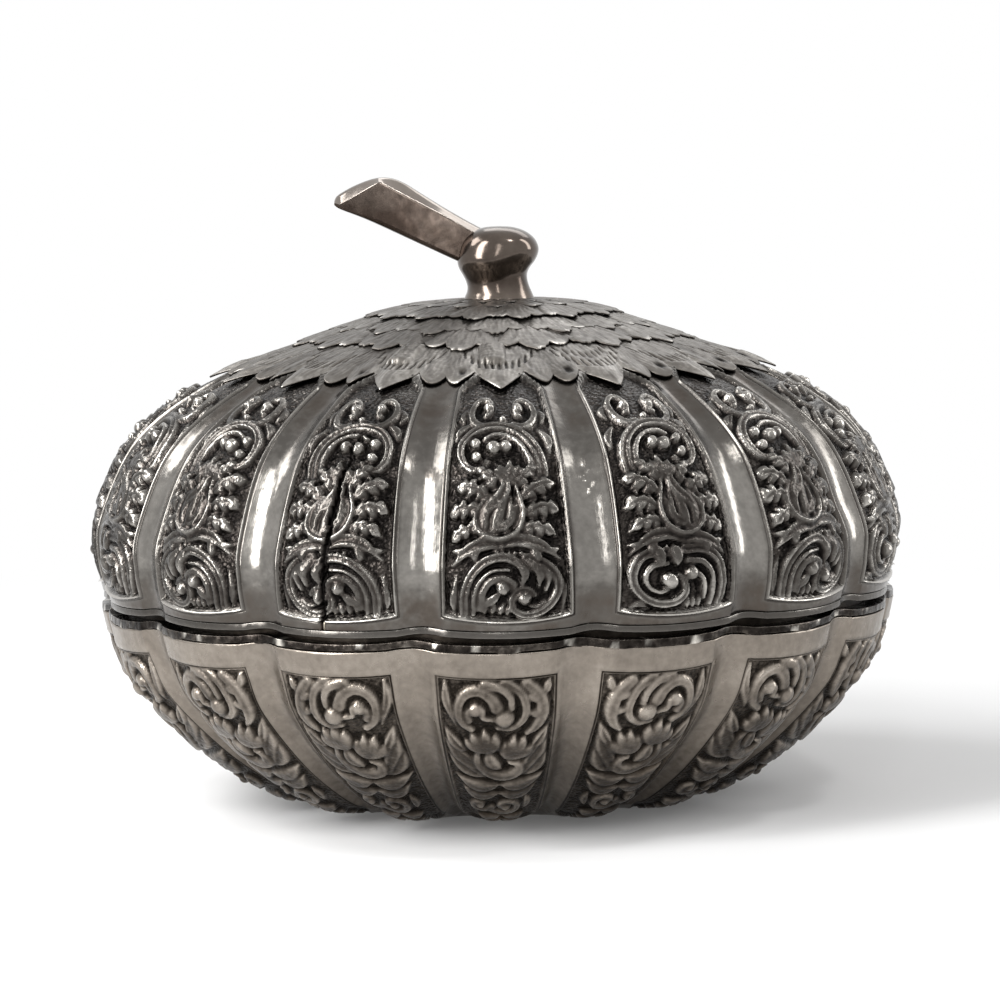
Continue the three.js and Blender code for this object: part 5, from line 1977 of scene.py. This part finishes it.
@dataclass
class Studio:
    """A pale floor, a white surround, soft lamps and the camera at the photograph's angle."""

    distance: float = 0.6866
    elevation: float = 6.85
    roll: float = 1.07
    focal_px: float = 3443.0
    aim_px: tuple[float, float] = (-2.4, 89.9)
    ambient: float = 0.3
    floor_glow: float = 0.08
    lamp_aim: tuple[float, float, float] = (0.0, 0.0, 0.05)

    def camera(self) -> None:
        """Places the camera: it looks at the rim's middle, turned so that the rim lies as in the photo."""
        tilt, roll = math.radians(self.elevation), math.radians(self.roll)
        right, up = Vector((1, 0, 0)), Vector((0, math.sin(tilt), math.cos(tilt)))
        back = Vector((0, -math.cos(tilt), math.sin(tilt)))
        rolled = right * math.cos(roll) - up * math.sin(roll)
        upright = right * math.sin(roll) + up * math.cos(roll)
        turn = Matrix((rolled, upright, back)).transposed()
        pitch = Matrix.Rotation(math.atan(self.aim_px[1] / self.focal_px), 3, "X")
        yaw = Matrix.Rotation(math.atan(self.aim_px[0] / self.focal_px), 3, "Y")
        camera = bpy.data.cameras.new("view")
        sensor, picture_px = 36.0, 1000
        camera.sensor_width, camera.lens = sensor, sensor * self.focal_px / picture_px
        camera.clip_start, camera.clip_end = 0.02, 50
        thing = linked("view", camera)
        place = Vector((0, 0, JOINT * MM)) + back * self.distance
        thing.matrix_world = Matrix.Translation(place) @ (turn @ pitch @ yaw).to_4x4()
        bpy.context.scene.camera = thing

    def lamp(
        self, name: str, azimuth: float, elevation: float, distance: float, size: tuple[float, float],
        radiance: float
    ) -> None:
        """A softbox that faces the object; its power is radiance times pi times its area.

        Args:
            name: its name.
            azimuth: degrees from the front towards +X.
            elevation: degrees over the floor.
            distance: metres from the aim.
            size: width and height in metres.
            radiance: how bright its face is, white being 1.
        """
        light = bpy.data.lights.new(name, "AREA")
        light.shape, light.size, light.size_y = "RECTANGLE", size[0], size[1]
        light.energy = radiance * math.pi * size[0] * size[1]
        turn, rise = math.radians(azimuth), math.radians(elevation)
        away = Vector((math.sin(turn) * math.cos(rise), -math.cos(turn) * math.cos(rise), math.sin(rise)))
        thing = linked(name, light)
        thing.location = Vector(self.lamp_aim) + away * distance
        thing.rotation_euler = away.to_track_quat("Z", "Y").to_euler()

    def surround(self) -> None:
        """A world that is white to the camera, to gloss and to glass, and a plain pale grey as light."""
        world = bpy.data.worlds.new("surround")
        bpy.context.scene.world = world
        tree = emptied(world)
        inputs = {"Value": seen_share(tree), "To Min": self.ambient, "To Max": 1.0}
        strength = add_node(tree, "MapRange", inputs)
        light = add_node(tree, "Background", {"Color": (1, 1, 1, 1), "Strength": strength.outputs["Result"]})
        add_node(tree, "OutputWorld", {"Surface": light.outputs["Background"]})

    def floor(self) -> None:
        """A pale matt floor that fades into the white surround away from the object."""
        half, rings, sides = 4.0, 24, 64
        radius = np.geomspace(0.05, half, rings)
        angle, r = np.meshgrid(circle(sides), radius)
        points = around(r, angle, np.zeros_like(r)).reshape(-1, 3)
        faces = grid_quads(rings, sides, round_cols=True)[:, ::-1].tolist() + [list(range(sides))]
        plane = helper("floor", points, faces)
        material = bpy.data.materials.new("pale_floor")
        tree = emptied(material)
        place = add_node(tree, "TexCoord").outputs["Object"]
        away = add_node(tree, "VectorMath", {0: place}, operation="LENGTH")
        inputs = {"Value": away.outputs["Value"], "From Min": 0.16, "From Max": 0.42}
        fade = add_node(tree, "MapRange", inputs, interpolation_type="SMOOTHSTEP")
        seen = seen_share(tree)

        def shader(kind: str, inputs: dict) -> Socket:
            """A node's first output."""
            return add_node(tree, kind, inputs).outputs[0]

        matt = shader("BsdfDiffuse", {"Color": (0.8, 0.8, 0.8, 1), "Roughness": 0.0})
        glow, white = (
            shader("Emission", {"Color": (1, 1, 1, 1), "Strength": level}) for level in (self.floor_glow, 1.0)
        )
        near = shader("MixShader", {0: seen, 1: matt, 2: shader("AddShader", {0: matt, 1: glow})})
        share = add_node(tree, "Math", {0: fade.outputs["Result"], 1: seen}, operation="MULTIPLY")
        both = shader("MixShader", {0: share.outputs[0], 1: near, 2: white})
        add_node(tree, "OutputMaterial", {"Surface": both})
        plane.data.materials.append(material)

    def build(self) -> None:
        """Sets up the view, the floor and the light."""
        bpy.context.scene.view_settings.view_transform = "Standard"
        self.camera()
        self.surround()
        self.floor()
        # Name, azimuth, elevation, distance, size and radiance of each lamp
        lamps = (
            ("left_front", -50, 23, 0.9, (0.26, 1.0), 17.0), ("left", -100, 46, 0.9, (0.42, 0.34), 9.0),
            ("front", -3, 22, 0.95, (0.05, 0.7), 10.0), ("right", 100, 26, 0.9, (0.2, 0.9), 6.0),
            ("overhead", 45, 60, 0.9, (0.12, 0.12), 20.0), ("rear", 165, 42, 1.0, (0.7, 0.25), 2.0),
        )
        for values in lamps:
            self.lamp(*values)
        log.info("studio ready")


def main() -> None:
    """Builds the studio, the finishes and the three sub-assemblies."""
    Studio().build()
    lid, base, leaf, strip, cast, plain, spun = (
        finish.material()
        for finish in (TARNISHED_AND_SHADED_LID, WARM_BASE, DARK_LEAF, SOLDERED_STRIP, SHADED_CAST_STEM, PLAIN_INSIDE,
                       CUP_SILVER)
    )
    LidAssembly().build(lid, leaf, cast, plain)
    BaseAssembly().build(base, strip, plain)
    InsideAssembly().build(plain, spun)


if __name__ == "__main__":
    main()
